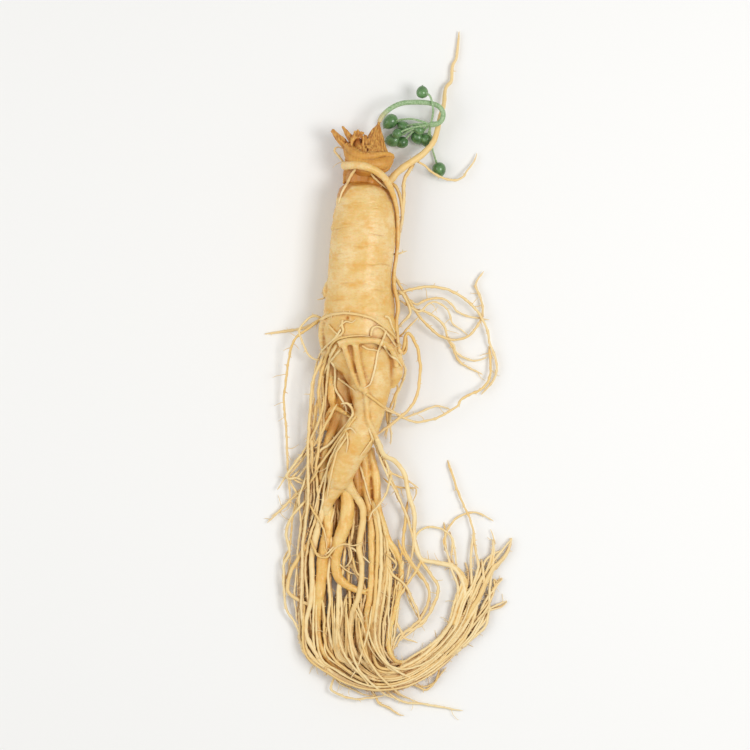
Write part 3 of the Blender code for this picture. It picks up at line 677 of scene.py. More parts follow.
# Crown
CROWN_HEAD = [
    (366, 174, 13.5, 12), (366, 170, 14, 17), (367, 163, 14.5, 20), (367, 156, 14.8, 19.5),
    (366.5, 150, 15, 17), (366, 146, 15, 13),
]
CROWN_FOLDS = [
    [(347.4, 150, 17, 4.4), (349.8, 156, 19.5, 5.2), (354, 160.5, 21.5, 5.8), (361, 163, 22.5, 6),
     (370, 164.5, 22.5, 6.2), (378, 165, 21.5, 6.6), (385, 162.5, 19.5, 6.2), (390.5, 159, 17.8, 3.6),
     (393.6, 157, 17, 1.6)],
    [(346.8, 145.4, 18, 3.6), (351, 150.5, 20.5, 4.4), (356.5, 155, 22.6, 4.8), (364.5, 157.6, 23.6, 4.6),
     (373, 157, 23.4, 3.8), (380, 155.4, 22, 2.8), (388, 155, 20, 2.2), (393, 156.6, 18, 1.6)],
    [(376, 168, 18, 7), (383, 168.5, 17, 5.6), (388.5, 164.5, 16.5, 4), (392.5, 160, 16.5, 2)],
    [(351, 158, 15, 6), (351, 166, 15, 6), (351, 172, 14, 5)],
    [(350.4, 148, 13.5, 6), (360, 147, 13, 8), (372, 148, 13, 8), (382, 152, 14, 6)],
    [(350, 165, 14, 4), (347, 172, 12.5, 3.6), (345.8, 179, 11.5, 2.8), (343.6, 184, 10.5, 1.4)],
]
# The fan and the outer and inner spikes: (feet, tip, width of a foot, width of the tip)
SPIKES = [
    ([(364, 149.5, 18.4), (366.6, 153, 20.2), (371, 154.4, 21.2), (374, 155, 21.5), (378.4, 155.2, 21),
      (381.6, 154.8, 20), (385.6, 153.8, 18), (372, 152, 14), (380, 152, 13.5), (368, 151, 13)],
     (378.9, 123, 15), 3.2, 1.0),
    ([(346.2, 150, 15.5), (347.4, 149.4, 17.6), (349.2, 148.6, 18.4), (350.8, 147.4, 17.4),
      (348, 150.6, 13), (350, 148, 14)],
     (332.2, 130.6, 15.5), 2.3, 1.5),
    ([(350.5, 142.5, 18.6), (353.4, 141.4, 19.4), (356, 141, 18.6), (352.6, 143, 16.5)],
     (343, 127.4, 18), 1.9, 1.3),
]
# The upper edge of the collar, below which the crown's skin is smooth
COLLAR_EDGE = ((342, 350, 357, 364, 372, 380, 390), (141, 148.5, 153, 155.5, 155.5, 153.5, 152))
# Ribbons and rims of the crest, each (width, route)
CREST = [
    (1.8, [(351, 151, 20.2), (351.6, 145, 20.8), (352.6, 140, 21), (354.4, 136, 20.4), (355.4, 132.6, 19)]),
    (1.5, [(353.6, 141, 20.6), (356, 138.4, 20.6), (358.4, 138.8, 20), (360.4, 137, 20), (361.6, 133, 19)]),
    (1.7, [(361.6, 137, 19.6), (363.6, 141, 20.4), (362.6, 146, 21), (363, 150, 21), (361, 154, 21)]),
    (1.6, [(365.6, 136, 18.4), (365, 141, 19.6), (366.4, 145, 20), (364.6, 149.6, 20.6)]),
    (4.8, [(356.6, 141, 16.8), (357.6, 145, 18), (359.4, 150.6, 20)]),
    (1.0, [(355.2, 148, 20.4), (357.4, 145, 19.8), (358, 141.6, 19)]),
    (1.5, [(357.2, 137.4, 20), (357, 134, 19.6), (358.6, 131, 19)]),
    (1.4, [(360.6, 138.6, 20), (361.6, 135, 19.4), (361.8, 132.4, 19)]),
    (1.4, [(355, 139, 19.6), (356, 136, 19.6), (360, 134.4, 19.4), (364, 134, 19)]),
    (1.4, [(364.6, 150, 20.6), (366, 146, 20.4), (368.5, 141, 19), (371.5, 137, 17.6)]),
    (2.4, [(357, 149, 15), (357.8, 134.8, 16.5)]),
    (2.4, [(362, 148, 15), (364, 136.8, 16)]),
    (2.4, [(352, 148, 15), (353.5, 138.8, 16)]),
    (1.5, [(356.5, 152.5, 22.6), (359.6, 150, 22), (362.5, 149.4, 21.6)]),
]
# Painted shade in the crown's hollow and under its collar, as that of the skin
CROWN_DEEP_SHADE_SPOTS = [
    (357.4, 143, 4.2, 5.2, 20.4, 1), (366.5, 149.5, 2.6, 3.6, 20.2, 0.9), (352, 160, 10, 2.4, 21.6, 0.55),
    (368, 166, 9, 1.8, 22.4, 0.35), (357, 173, 14, 4, 22, 0.8),
]
# Places pushed in from above: (x, y, half width, half length, depth)
CROWN_HOLLOWS = [(366, 148.6, 1.0, 1.6, 1.0), (367.6, 151, 1.0, 1.8, 1.4)]


def spike(foot, tip, foot_width, tip_width, bow):
    """A tapered, slightly bowed tube from a foot on the crown to a tip."""
    middle = [(a + b) / 2 for a, b in zip(foot, tip)]
    middle[0] += bow
    middle[2] += abs(bow) * 0.3
    points = [(*foot, foot_width), (*middle, foot_width * 0.62 + tip_width * 0.3), (*tip, tip_width)]
    return tube_mesh(smooth_route(points, FINE_STEP), 2)


def crown_piece(material):
    """The crown: its head, folds, spikes and crest in one papery skin."""
    rng = random.Random(SEED + 1)
    forms = [tube_mesh(smooth_route(CROWN_HEAD, FORM_STEP), 8)]
    forms += [tube_mesh(smooth_route(route, FINE_STEP), 6) for route in CROWN_FOLDS]
    for feet, (x, y, height), wide, end_wide in SPIKES:
        for foot in feet:
            end = (x + rng.uniform(-0.9, 0.9), y + rng.uniform(-0.6, 1.6), height + rng.uniform(-0.5, 0.5))
            forms.append(spike(foot, end, wide * rng.uniform(0.7, 1.15), end_wide, rng.uniform(-1.4, 1.4)))
    for width, route in CREST:
        forms.append(tube_mesh(smooth_route([(*point, width) for point in route], 1.5), 4))
    crown = melted("root_crown", forms, CROWN_VOXEL, 2)
    points = vertex_values(crown.data)
    out = vertex_values(crown.data, "normal")
    x, y = pixels(points)
    smooth = np.clip((y - np.interp(x, *COLLAR_EDGE)) / 1.5 + 0.5, 0, 1)
    move = bumps(points, [(0.3, (1, 0.22, 1), 1.2, 4)]) * (1 - 0.75 * smooth)
    move += bumps(points, [(0.3, (1, 1, 1), 5, 5)])
    points += out * move[:, None]
    for middle_x, middle_y, wide, long, depth in CROWN_HOLLOWS:
        away = ((x - middle_x) / wide) ** 2 + ((y - middle_y) / long) ** 2
        points[:, 2] -= (points[:, 2] > 14 * MM) * depth * MM * np.exp(-(away**2))
    set_coordinates(crown.data, points)
    write_value(crown.data, "smooth", smooth)
    # Painted shade in the crown's hollows and under the collar
    write_value(crown.data, "deep_shade", deep_shade_at(points, CROWN_DEEP_SHADE_SPOTS))
    write_folds(crown.data, 2, 14, 0.8 * MM)
    crown.data.materials.append(material)
    return crown


# Fingers and thick roots under and beside the leg, with a height and a width at each point
FINGERS = [
    # finger left
    [(345, 402, 6.5, 5.5), (337, 420, 6, 5), (329, 440, 5.5, 4.6), (323.5, 460, 5.5, 4.6),
     (322.8, 478, 5.6, 4.6), (326.6, 496, 5.6, 5), (328, 512, 5.6, 5.4), (327.4, 530, 5.6, 5.6),
     (325, 546, 5.6, 5.8), (322.5, 561, 5.5, 6), (321.5, 578, 5.2, 5.8), (319.5, 596, 5, 5.5),
     (317, 613, 4.6, 4.4), (317, 629.5, 4.4, 4), (319.7, 646, 4.4, 4), (329.6, 661, 4.4, 4),
     (343, 672, 4.2, 4), (356, 681, 4, 4), (373, 686.7, 4, 4), (389, 688, 4, 4), (406, 684, 4, 3.8),
     (423, 676, 4, 3.5)],
    # finger middle
    [(345, 487, 7.8, 5.4), (347, 500, 7.6, 6.6), (347.4, 512, 7.6, 6.9), (345.4, 524, 7.4, 7),
     (341.6, 534, 7.2, 6.8), (338.4, 544, 7, 6.2), (336, 555, 6.8, 5.5), (335.8, 566, 6.4, 5.2),
     (338.5, 577, 6, 5), (346, 585, 5.8, 4.2), (356, 590, 5.6, 3.6), (366, 592.5, 5.4, 3)],
    # finger centre
    [(362, 450, 4.8, 4.8), (365, 470, 4.6, 5), (366, 490, 4.6, 4.6), (368, 506, 4.8, 4.2),
     (370.5, 520, 4.8, 3.8), (371.8, 536, 4.8, 3.9), (372, 556, 4.8, 3.8), (372, 576, 4.8, 3.7),
     (370, 598, 4.6, 3.6), (366, 620, 4.6, 3.4), (366, 638, 4.6, 3.4), (370, 655, 5, 3.4),
     (380, 666, 5.5, 3.4), (393, 671, 5.5, 3.4), (408, 667, 5, 3.4), (423, 657, 4.6, 3)],
    # finger right
    [(369, 448, 5, 3.6), (374, 466, 5, 3.9), (376.5, 484, 5.2, 4.2), (377.3, 498, 5.2, 3.9),
     (379.3, 512, 5, 3.4), (383.5, 526, 5, 3.5), (389, 541, 5, 3.3), (396, 553, 4.6, 3),
     (400.5, 565, 4.2, 2.7), (401.5, 579, 4, 2.6), (399.7, 594, 4, 2.6), (394, 614, 4, 2.6),
     (389, 634, 4.5, 2.6), (389, 650, 5, 2.6), (396, 662, 5, 2.4), (409, 662, 4.6, 2.2), (424, 654, 4, 2)],
    # finger behind
    [(352, 450, 6.5, 4.4), (354.6, 464, 6, 4.6), (356.2, 478, 5.4, 4.6), (357, 492, 4.6, 3.8),
     (356, 508, 4, 3), (354, 526, 3.4, 1.8), (352, 545, 3, 1.6)],
    # finger deep
    [(371, 448, 2.8, 3.4), (372.4, 470, 2.6, 3.8), (372.4, 490, 2.4, 3.8), (374, 506, 2.2, 3)],
    # finger shadow
    [(338, 432, 3.4, 4), (333, 448, 3.2, 4), (330, 466, 3, 4), (330.6, 486, 2.8, 4), (337.4, 502, 2.6, 4.2),
     (335.6, 520, 2.4, 3), (333, 540, 2.2, 2)],
    # leg root
    [(332, 374, 8.5, 3.6), (332, 388, 8, 4), (332, 399, 7.8, 4), (334, 406, 7.6, 3.2),
     (339, 409.5, 10, 2.6), (345.5, 413.4, 11, 2.2), (351, 417, 11.5, 1.8)],
    # leg root left
    [(335, 406, 8.6, 2.6), (331, 409.6, 8.4, 2.2), (327.6, 413.4, 7.6, 1.5), (325, 419, 6.4, 1)],
    # hip under
    [(329, 350, 7, 5), (328, 366, 5.4, 5), (327, 386, 4.6, 5), (326.4, 408, 4, 4.6), (327, 430, 3.6, 4)],
]
# Thinner branches that leave the leg's two ends
LONG_BRANCHES = [
    [(329, 500, 6.8, 3.4), (322, 514, 6.5, 3.3), (317.5, 530, 6.4, 3.2), (314, 545, 6.2, 3.2),
     (311.5, 561, 6, 2.8), (312, 577, 6, 2.6), (311, 600, 6, 2.4), (306, 622, 6, 2.2), (308, 640, 6, 2.1),
     (322, 662, 6.5, 2), (338, 677, 7, 2), (360, 686, 7, 2)],
    [(358, 499, 8.5, 4.2), (362.5, 508, 8, 3.6), (363, 520, 7.6, 3.2), (361, 534, 7.4, 3),
     (359, 550, 7.2, 2.9), (362, 570, 7, 2.8), (359, 595, 6.8, 2.6), (352, 615, 6.6, 2.5),
     (350, 635, 6.6, 2.4), (356, 655, 6.8, 2.3), (372, 668, 7, 2.2), (393, 673, 7, 2.1),
     (412, 664, 6.5, 2)],
]
# The long root that rises past the crown
CROWN_ROOT = [
    (383, 186, 14, 3.6), (390, 181, 14.5, 3.6), (397, 173, 14.5, 3.5), (408, 164.5, 14, 3.4),
    (422, 155, 12.5, 3.2), (432, 143.5, 11, 2.9), (437, 132, 9.5, 2.7), (440.5, 115, 7, 2.4),
    (444, 104, 5.5, 2.1), (446, 87, 3.5, 1.7), (451.4, 79.6, 2.8, 1.6), (453, 65, 2.2, 1.5),
    (457, 55, 1.8, 1.4), (459.7, 30.5, 1.6, 1.3),
]
# The root that leaves the leg's front and runs out to the fan
LEG_STRAND = [
    (377, 439, 18, 2.4), (384, 455, 12, 2.4), (395, 461, 8, 2.4), (405, 476, 6, 2.4), (409, 496, 6, 2.2),
    (414.4, 514, 5, 2.2), (414.5, 540, 4, 2.2), (421, 559, 4, 2.2), (437, 563, 4, 2.1), (453, 567.4, 4, 2),
    (462, 580, 4, 1.9), (465, 597.7, 4, 1.8), (460, 612, 4, 1.8),
]
# The rootlet that arches over the hip
HIP_ARC = [
    (401, 346), (392, 334), (381, 325), (371, 318.6), (356, 314.6), (343, 313.8), (331, 315.4), (320, 320),
    (308, 325.8), (298.3, 329), (277.5, 332), (264.5, 334),
]
# Free rootlets: each is (width, start height, end height, points)
ROOTLETS = [
    (1.2, 13, 1.6, 414, 160, 425, 166, 432, 172, 440.5, 176.4, 453, 179.7, 463, 177, 468.5, 168.7, 475.6,
     158, 477, 152.6),
    (2, 12, 13, 415, 162, 408, 173, 404, 183, 403.3, 209, 401, 223.5, 398, 243, 395, 262),
    (1.4, 12, 2, 393, 297, 408, 290, 424, 286.7, 438.6, 287.5, 451, 290.7, 464, 298, 475, 308, 483, 319,
     488, 330.6, 489.6, 341.7, 494.4, 354.5, 496.8, 369, 493.6, 380, 481.6, 394.4),
    (1.3, 2, 13, 489.6, 346, 491, 366, 489.6, 378, 483, 388, 473.6, 393, 461, 400, 456, 407, 440, 416.7,
     427, 420.7, 416, 422, 408, 420, 397, 414, 386, 410, 376, 402),
    (1.4, 12, 2, 392, 272, 397, 280, 402, 289, 410, 302, 418, 314.6, 427.4, 325, 437, 334, 446.5, 338.6,
     457.7, 339.4, 469, 335.4, 476.8, 327, 481.6, 319, 483, 310, 480.8, 297, 476, 284, 484, 271),
    (1.2, 9, 2, 408, 298, 416, 304, 427, 299.5, 443, 298.7, 451, 303.5, 457.7, 311.5, 469, 316, 489.6,
     319.4),
    (1.2, 9.4, 1.8, 407, 298, 414, 308, 425.8, 312, 437, 318, 445, 327, 448, 338.6, 453.7, 345, 457.7, 353,
     467, 359, 477, 361, 488, 357),
    (1.2, 4.6, 1.6, 446, 331, 448, 338.6, 453, 348, 457, 357, 465.7, 365.7, 483, 374.4),
    (1.6, 12, 12, 394, 290, 402.7, 294, 410, 310, 409, 316, 401, 324, 394, 332),
    (1.8, 15, 12, 398, 353, 402.4, 350.5, 404.4, 344, 405.4, 337.5, 408.4, 333.4, 413, 338.6, 418, 350, 420,
     365.7, 419.4, 381.6, 416, 397.6, 408, 410, 397, 420, 386, 428, 374, 437),
    (1.2, 12, 2, 380, 405, 394, 412, 403.5, 418, 419.4, 412, 437, 406, 451, 409.5),
    (1.3, 15, 4, 400, 358, 405.5, 370, 402, 383, 396.5, 395.5, 394, 405.7, 390, 421, 391.4, 439, 391,
     444.6),
    (1.3, 13, 4, 393, 378, 397.8, 387, 394, 398, 389.5, 411, 388, 425, 385.7, 439),
    (1.3, 14, 2.5, 330, 318, 320, 320, 307.8, 329, 298.3, 335.4, 292.7, 343, 289.5, 354.5, 287, 369, 285.2,
     385, 284, 402, 286, 432, 288, 475, 289.5, 492, 290.3, 508),
    (1.2, 13, 9, 328, 322, 315.8, 316, 306, 321, 299, 330, 301.5, 338.6, 306, 349.7, 311, 357, 322, 360,
     334, 356),
    (1.6, 14, 6, 340, 334, 330, 344, 324, 356, 316, 372, 312.6, 382, 311, 398, 309.4, 420, 308, 439, 307.8,
     464, 307.8, 496, 306, 520, 303, 543.5, 302, 567, 301.5, 591, 301, 614, 306, 634, 316, 650),
    (1.6, 13, 5, 336, 345, 326, 360, 320, 380, 319, 400, 321, 422, 319, 445, 316, 470, 318, 495, 315, 520,
     308, 545, 305, 570, 308, 600, 312, 630),
    (1.3, 10, 3, 352, 408, 353, 414, 349, 420, 337, 438, 320, 446, 300, 457, 286.3, 475.7, 277, 490),
    (1.2, 4, 2, 320, 470, 308, 484, 296, 494, 288.7, 502, 278, 513, 267.2, 523.6),
    (1.4, 7, 3, 306, 500, 297.5, 510, 290, 520, 286, 535, 289.5, 553, 283.5, 566, 284, 593, 286.5, 610, 295,
     624.5, 301.5, 638, 310, 651, 323, 666, 336, 677),
    (2.2, 5, 5, 318, 528, 308, 543.5, 298, 559, 290, 574, 288, 592, 300, 601, 314.7, 607, 324, 606),
    (1.3, 9, 2.5, 376, 445, 387, 465, 393, 483, 403, 507, 412, 533, 413, 549.5, 409, 570, 406, 590, 412,
     606, 421, 622),
    (1.1, 1.8, 3.5, 448, 460.6, 453, 476.5, 461, 499, 469, 515, 473.6, 532, 477, 556, 478.4, 575),
    (1.1, 3, 2, 447, 552, 445.7, 534, 453, 523, 461, 516, 472, 513, 483, 515, 493.6, 522),
    (1.1, 4, 3, 414, 552, 415.5, 539, 419.4, 531.5, 429, 527.6, 440, 529, 450, 535.5, 454.5, 547, 456, 566,
     460, 590),
    (1.6, 5, 3, 300, 640, 313, 660, 329, 674, 351, 685.5, 370, 690, 389, 691, 406, 687.5, 423, 679, 436,
     671.5, 448, 659, 460, 650, 474, 638, 485, 627, 489, 612, 489.6, 589, 494, 560, 494, 541),
    (1.6, 6, 4, 372, 640, 378, 658, 388, 665, 402, 663, 423, 651, 438, 639.5, 449, 626.5, 456, 607, 458,
     588, 452, 570, 445, 545),
    (1.6, 4, 3, 398, 600, 396, 625, 392, 650, 400, 668, 420, 663, 441, 651, 461, 634, 474, 612, 480, 586,
     491, 566, 511, 541),
    (1.6, 4, 2.5, 406, 679, 424, 671, 443, 659, 462, 645, 476, 628, 483, 606, 496, 588, 503, 580),
    (1.6, 6, 3, 412, 673, 430, 663, 446, 648, 459, 632, 467, 612, 472, 590, 471, 562, 474, 530),
    (1.8, 8, 4, 366, 660, 382, 677, 402, 682, 420, 674, 438, 664, 456, 649, 470, 630, 477, 608, 484, 584,
     482, 560),
    (1.6, 7, 3, 380, 668, 396, 675, 415, 668, 434, 656, 452, 640, 464, 620, 470, 600, 478, 578, 487, 560,
     500, 551),
    (1.4, 4, 2, 470, 636, 481, 624, 487, 612, 497, 606, 507, 601.3),
]
# The same, where they start in the bundle
BUNDLE_ROOTLETS = [
    (1.8, 7, 5, 372, 505, 377, 530, 379, 555, 381, 580, 379, 605, 375, 630, 377, 652, 390, 668),
    (1.6, 6, 5, 376, 500, 384, 530, 389, 556, 391, 580, 388, 605, 383, 630, 384, 652, 396, 666),
    (1.6, 7, 4, 355, 505, 353, 530, 350, 548, 351, 565, 358, 577, 365, 590, 362, 612, 356, 634, 360, 658),
    (1.8, 7, 5, 335, 505, 330, 528, 331, 550, 328, 575, 330, 600, 328, 622, 332, 645, 345, 664, 362, 678,
     384, 684),
    (1.6, 7, 5, 343, 520, 345, 546, 343, 566, 340, 590, 342, 612, 339, 634, 347, 655, 360, 670, 380, 679),
    (1.6, 5, 4, 408, 500, 405, 525, 404, 549, 414, 566, 427, 585, 429, 600, 420, 620, 404, 634, 394, 650),
    (1.6, 4, 4, 416, 540, 421, 560, 430, 574, 438, 586, 436, 600, 428, 616, 412, 632, 398, 642),
    (1.3, 10, 7, 320, 558, 328, 553, 336, 546, 346, 545, 357, 552, 370, 563),
]
# The same, where they stray from the bend
STRAY_ROOTLETS = [
    (1.3, 3, 1.6, 362, 684, 370, 690, 375, 696.5, 380, 705, 389, 709, 399.5, 715.7, 404, 716.5),
    (1.2, 4, 1.6, 380, 687, 390, 695, 398, 700, 406.6, 703.6, 419, 704.5, 436, 707, 448, 709.5, 463, 712),
    (1.2, 4, 4, 338, 674, 333, 681, 331, 689, 335, 693.5, 343, 697, 354, 699.7, 364, 699.7, 376.5, 698, 388,
     694),
    (1.2, 3, 1.8, 405, 684, 417.4, 687, 427, 690.4, 436.4, 681, 446, 668),
]
# Strands that lie on the body: (width, points)
LAID = [
    (1.4, 401, 346, 392, 334, 381, 325, 371.6, 318.6, 355.7, 314.6, 343, 313.8, 331.7, 315.4, 320.6, 320),
    (1.3, 371, 336, 371, 334, 373, 328.5, 378, 327, 384, 330.5, 390, 338, 396, 347),
    (1.3, 385, 317, 388.5, 318, 392, 327, 395, 334),
    (1.1, 338, 339.5, 348, 337, 360, 336, 371, 337),
    (1.3, 386, 331, 382, 342, 378, 352, 375.5, 364, 373, 376, 370, 384, 364, 388),
    (1.2, 340, 327, 346, 322, 352, 323, 356, 320),
    (1.4, 343, 320.6, 342.4, 326, 343.4, 331, 341, 335, 335, 340.4, 329.5, 349),
    (1.3, 384, 346, 390, 355, 397, 360, 402, 367),
    (1.3, 362, 346, 368, 349, 375, 350, 381, 352),
    (1.5, 367, 394, 374, 399, 384, 407, 394, 412),
    (1.3, 345.5, 413, 350, 417, 357, 419),
    (1.4, 345, 430, 351, 428, 356, 433),
    (1.2, 347, 432, 348, 443, 346.5, 452),
    (1.3, 356, 416, 346, 431, 337, 452, 331, 476, 327, 497),
    (1.2, 372, 440, 366, 448, 360, 456),
    (1.7, 337, 345.5, 332, 354, 329.5, 361.4, 328.3, 369, 326.6, 384, 325.4, 400, 323, 425, 319, 445, 309,
     462, 297, 478, 286.5, 476),
    (1.4, 347, 337.2, 338.3, 339.2, 332.6, 344, 328, 352.6, 323.8, 361.4, 320.7, 369, 318.6, 385, 318, 400,
     314.5, 430, 315.3, 460),
    (1.3, 341, 349.5, 334, 357.5, 326.4, 368, 323, 380, 320.6, 400, 321, 430, 318.5, 460),
    (1.3, 328.5, 325, 333, 330, 337.5, 334.4, 342, 336.6),
    (1.3, 330, 350, 325.6, 360, 322.6, 378, 324, 402, 328, 428, 324, 452),
    (1.3, 341, 330, 335, 338.8, 328, 345, 321.8, 351, 318.4, 358, 316, 366, 313.8, 378.6, 313, 398, 316,
     424, 323, 446),
    (1.5, 331.8, 362.5, 334.9, 367, 335.4, 375, 335.4, 388, 341, 398, 346, 407, 346, 417),
    (1.3, 338.7, 378.6, 346.3, 384, 355, 391),
]
# Strands that cross over the others at the neck and beside the leg, as the free rootlets
CROSSING = [
    (1.5, 23.5, 9, 359, 167.4, 354.6, 171.4, 350.6, 177, 347.4, 184, 343.8, 190.4, 341, 196.4, 338.6, 204),
    (1.2, 24, 16, 366, 168, 370, 173.2, 376, 180, 383.4, 186.6, 388.5, 190),
    (1.6, 18, 4, 341, 404, 347, 403, 352, 408, 353, 414, 349, 421, 341, 431, 330, 444, 321, 450, 315, 458,
     311, 470, 307, 483, 306, 500, 308, 516),
    (1.5, 18, 3, 354, 412, 349, 424, 340, 437, 329.5, 452, 318, 468, 311.5, 479, 306.5, 484.3, 298, 482,
     289, 477),
    (1.5, 17, 3, 337, 404, 331.5, 414, 325, 426, 317, 441, 306, 454, 298, 465, 287, 478),
    (1.3, 16, 3, 324, 396, 322, 412, 315, 430, 307, 446, 301.6, 454, 296, 463, 287, 474),
    (1.2, 17, 6, 351, 430, 342, 444, 333, 458, 325.6, 474, 319.6, 490, 315, 508, 309, 528),
    (1.3, 16, 6, 349, 428, 337, 446, 328.6, 464, 325.4, 482, 322, 505, 316.6, 527, 311, 546),
    (1.1, 12, 3, 318, 470, 314, 477, 307.4, 485.5, 298, 494, 288, 501),
    (1.1, 12.5, 10, 372, 606, 369, 626, 365, 642, 361, 656, 357, 668, 351, 678),
    (1, 12, 9, 352, 604, 361, 620, 366, 636, 372, 651, 383, 664),
    (1.2, 12, 9, 392, 474, 388.7, 484.7, 386, 494, 381, 502, 377, 507.5, 371.7, 513, 369, 520),
    (1.2, 15, 6, 367, 424, 371, 434, 376, 447, 382, 463, 389, 479, 396.5, 493, 403, 506, 409, 520),
]
# Strands that cross over the bend, with a height and a width at each point
OVER_BEND = [
    [(347, 614, 10.6, 1.3), (349, 634, 11.2, 1.3), (352, 652, 11.4, 1.3), (358, 668, 11.4, 1.3),
     (368, 680, 10.8, 1.2), (378, 689, 9, 1.1), (388, 696.6, 4.6, 1), (398, 700.4, 1.8, 0.8)],
    [(358, 618, 10.6, 1.2), (361, 638, 11.2, 1.2), (366, 655, 11.4, 1.2), (374, 668, 11.4, 1.2),
     (384, 680, 10.8, 1.1), (394, 689.4, 8.6, 1), (403, 696.6, 4.4, 0.9), (413, 701, 1.8, 0.7)],
    [(336, 622, 10.6, 1.2), (341, 646, 11.2, 1.2), (349, 661, 11.4, 1.2), (360, 674, 10.8, 1.1),
     (369, 685, 8.8, 1), (375, 697, 2.2, 0.8)],
    [(374, 622, 10.6, 1.1), (377, 646, 11.2, 1.1), (386, 661, 11.2, 1.1), (397, 671, 10.8, 1.1),
     (412, 678, 8, 1), (426, 681, 3, 0.8)],
    [(366, 612, 10.6, 1), (371, 640, 11.4, 1), (382, 659, 11.6, 1), (396, 668, 11.4, 1),
     (412, 668, 10.6, 1), (430, 660, 9, 0.9), (448, 644, 7.4, 0.9), (462, 624, 6, 0.8),
     (472, 600, 5.4, 0.8)],
]
# Finer free rootlets
FINE_ROOTLETS = [
    (1, 12, 1.6, 399, 300, 407, 305, 419.4, 311.5, 429, 303.5, 437, 302, 446.5, 308, 450.5, 316, 453, 322.6,
     462.5, 330.6, 469, 335.4),
    (1.2, 14, 9, 398, 338, 402, 334, 410, 326, 419.4, 316),
    (1.1, 12, 4, 386.3, 408, 387, 418, 387, 427, 384, 437),
    (1.8, 14, 13, 390, 181, 396, 188, 400, 196, 402, 209.5, 402, 222),
    (1.2, 15, 12, 346, 172, 343.7, 164.5, 339, 157, 334, 151, 335, 148.5, 338.5, 147.2, 343, 149),
    (1.3, 14, 11, 392, 254.5, 398.5, 254, 403, 252.5, 407, 251),
    (1.3, 13, 6, 330, 282, 324.5, 288, 323.4, 294, 324, 298, 317.3, 299),
    (1.2, 8, 1.8, 304, 452, 296, 462, 286.3, 475.7, 291, 478.5, 296.7, 478, 307.8, 483.7, 316, 476.5, 327,
     464, 336, 450),
    (1.1, 5, 1.8, 316, 484, 306, 486, 297, 495, 288.7, 502, 279, 511, 271, 517),
    (1.2, 4, 2.5, 300, 470, 290, 480, 294, 489, 297.5, 496, 296, 508, 290, 520, 285.5, 532, 289.5, 553,
     288.7, 567, 286, 580),
    (1, 3, 2.2, 296, 500, 292, 520, 290, 545, 285, 556, 283, 563, 285, 580, 284, 593, 286.5, 610),
    (1.1, 10, 5, 317, 400, 313, 430, 312, 465, 314, 495, 311, 520, 304, 545),
    (1.1, 9, 4, 314.5, 398, 311, 428, 310.5, 460, 304, 482, 299, 500, 301, 525, 298, 548, 296, 575, 294,
     600, 297, 622),
    (1, 7, 3, 310, 480, 306, 505, 300, 530, 297, 560, 298, 590, 298, 618, 303, 640),
    (1.2, 12, 4, 375, 442, 381, 452, 387, 465, 389, 475.5, 393, 483, 396.5, 494.6, 403, 507, 408, 517, 412,
     533),
    (1.2, 10, 4, 376, 450, 384.4, 463, 390, 472, 396.5, 475.5, 403.5, 478, 408, 480.6, 415.7, 487, 418.5,
     489),
    (1, 5, 3, 383, 478, 389.5, 484, 396.5, 487, 406, 488.6, 415.7, 488, 416.4, 492, 415.7, 496, 413, 502),
    (1, 2, 3, 444, 523, 445.7, 534, 444, 543.5, 450, 559, 457.7, 575),
    (1, 4, 1.6, 489.6, 569, 493.6, 553, 494.4, 540, 491, 530),
    (1.3, 3, 1.6, 481.6, 585, 489.6, 575, 499, 566, 505, 556, 508.7, 547),
    (1, 3, 1.6, 488, 592, 495, 588, 494.4, 580, 498.4, 582.6, 503, 580),
    (1.1, 9, 7, 324, 543, 327, 553, 341, 566, 350.6, 573, 355, 574),
    (1.1, 8.5, 9, 309, 503, 314.5, 513, 321, 524, 325.6, 536, 326.6, 549),
    (1.1, 9, 10, 310, 538, 314, 549, 318.5, 556, 327, 557, 336, 547.5, 344, 544, 354, 545.4, 363, 542.6),
    (1, 9, 10, 349.6, 536, 349.4, 545, 351.5, 556, 349, 563, 345, 567),
    (1.1, 7, 7, 358, 461, 363, 476, 367, 490, 371.4, 505),
    (1.1, 12, 8, 350.5, 484, 357, 496, 361.5, 507, 364, 522),
    (1.1, 9, 6, 349, 540, 348.7, 548, 350, 559, 348, 565, 345, 567),
    (1.1, 9, 6, 352, 555, 355, 569, 359.5, 576, 364, 578, 368.5, 579.5),
    (1.2, 7, 5, 384, 542, 390, 548, 394.6, 557, 397, 564),
    (1.1, 8, 6, 384.4, 554, 390, 557, 396, 564, 394.6, 569, 391, 572.5, 384.4, 576),
    (1.4, 7, 4, 385.7, 562, 392, 574, 405.5, 586, 412.5, 600.6, 417, 610, 421.5, 626),
    (1.3, 5, 3, 398, 540, 401.6, 550, 408, 560, 415.7, 571, 419.2, 576, 427.5, 585, 430, 596, 426, 608,
     417.5, 623),
    (1.3, 5, 4, 421, 558, 419.5, 565.5, 406, 586.6, 398, 600.6, 396, 613, 397, 623, 401.6, 632.5, 404, 638,
     417.5, 643.6),
    (1.2, 4, 4, 428, 570, 432, 578, 438, 585, 437, 596, 431, 610, 423, 624.5, 409, 631, 399, 636, 394, 646,
     391, 659),
    (1, 3, 3, 450, 532, 453, 545, 452, 558, 456, 570),
    (1.1, 3, 3.5, 412, 500, 414, 520, 413, 536, 416, 553, 424, 563),
    (1, 3, 2, 334.4, 678.7, 339.5, 684, 347, 687.6, 357.4, 692.7, 367, 696, 376.5, 696.5),
    (1, 3, 2, 384, 689, 390, 689.5, 398, 695, 409, 699.5, 419, 703.6),
    (1, 4, 2, 440, 668, 436.4, 681, 431.5, 685.4, 423, 688, 415, 683),
    (1, 3, 1.6, 441, 634, 444, 630, 449, 624, 452, 616),
]
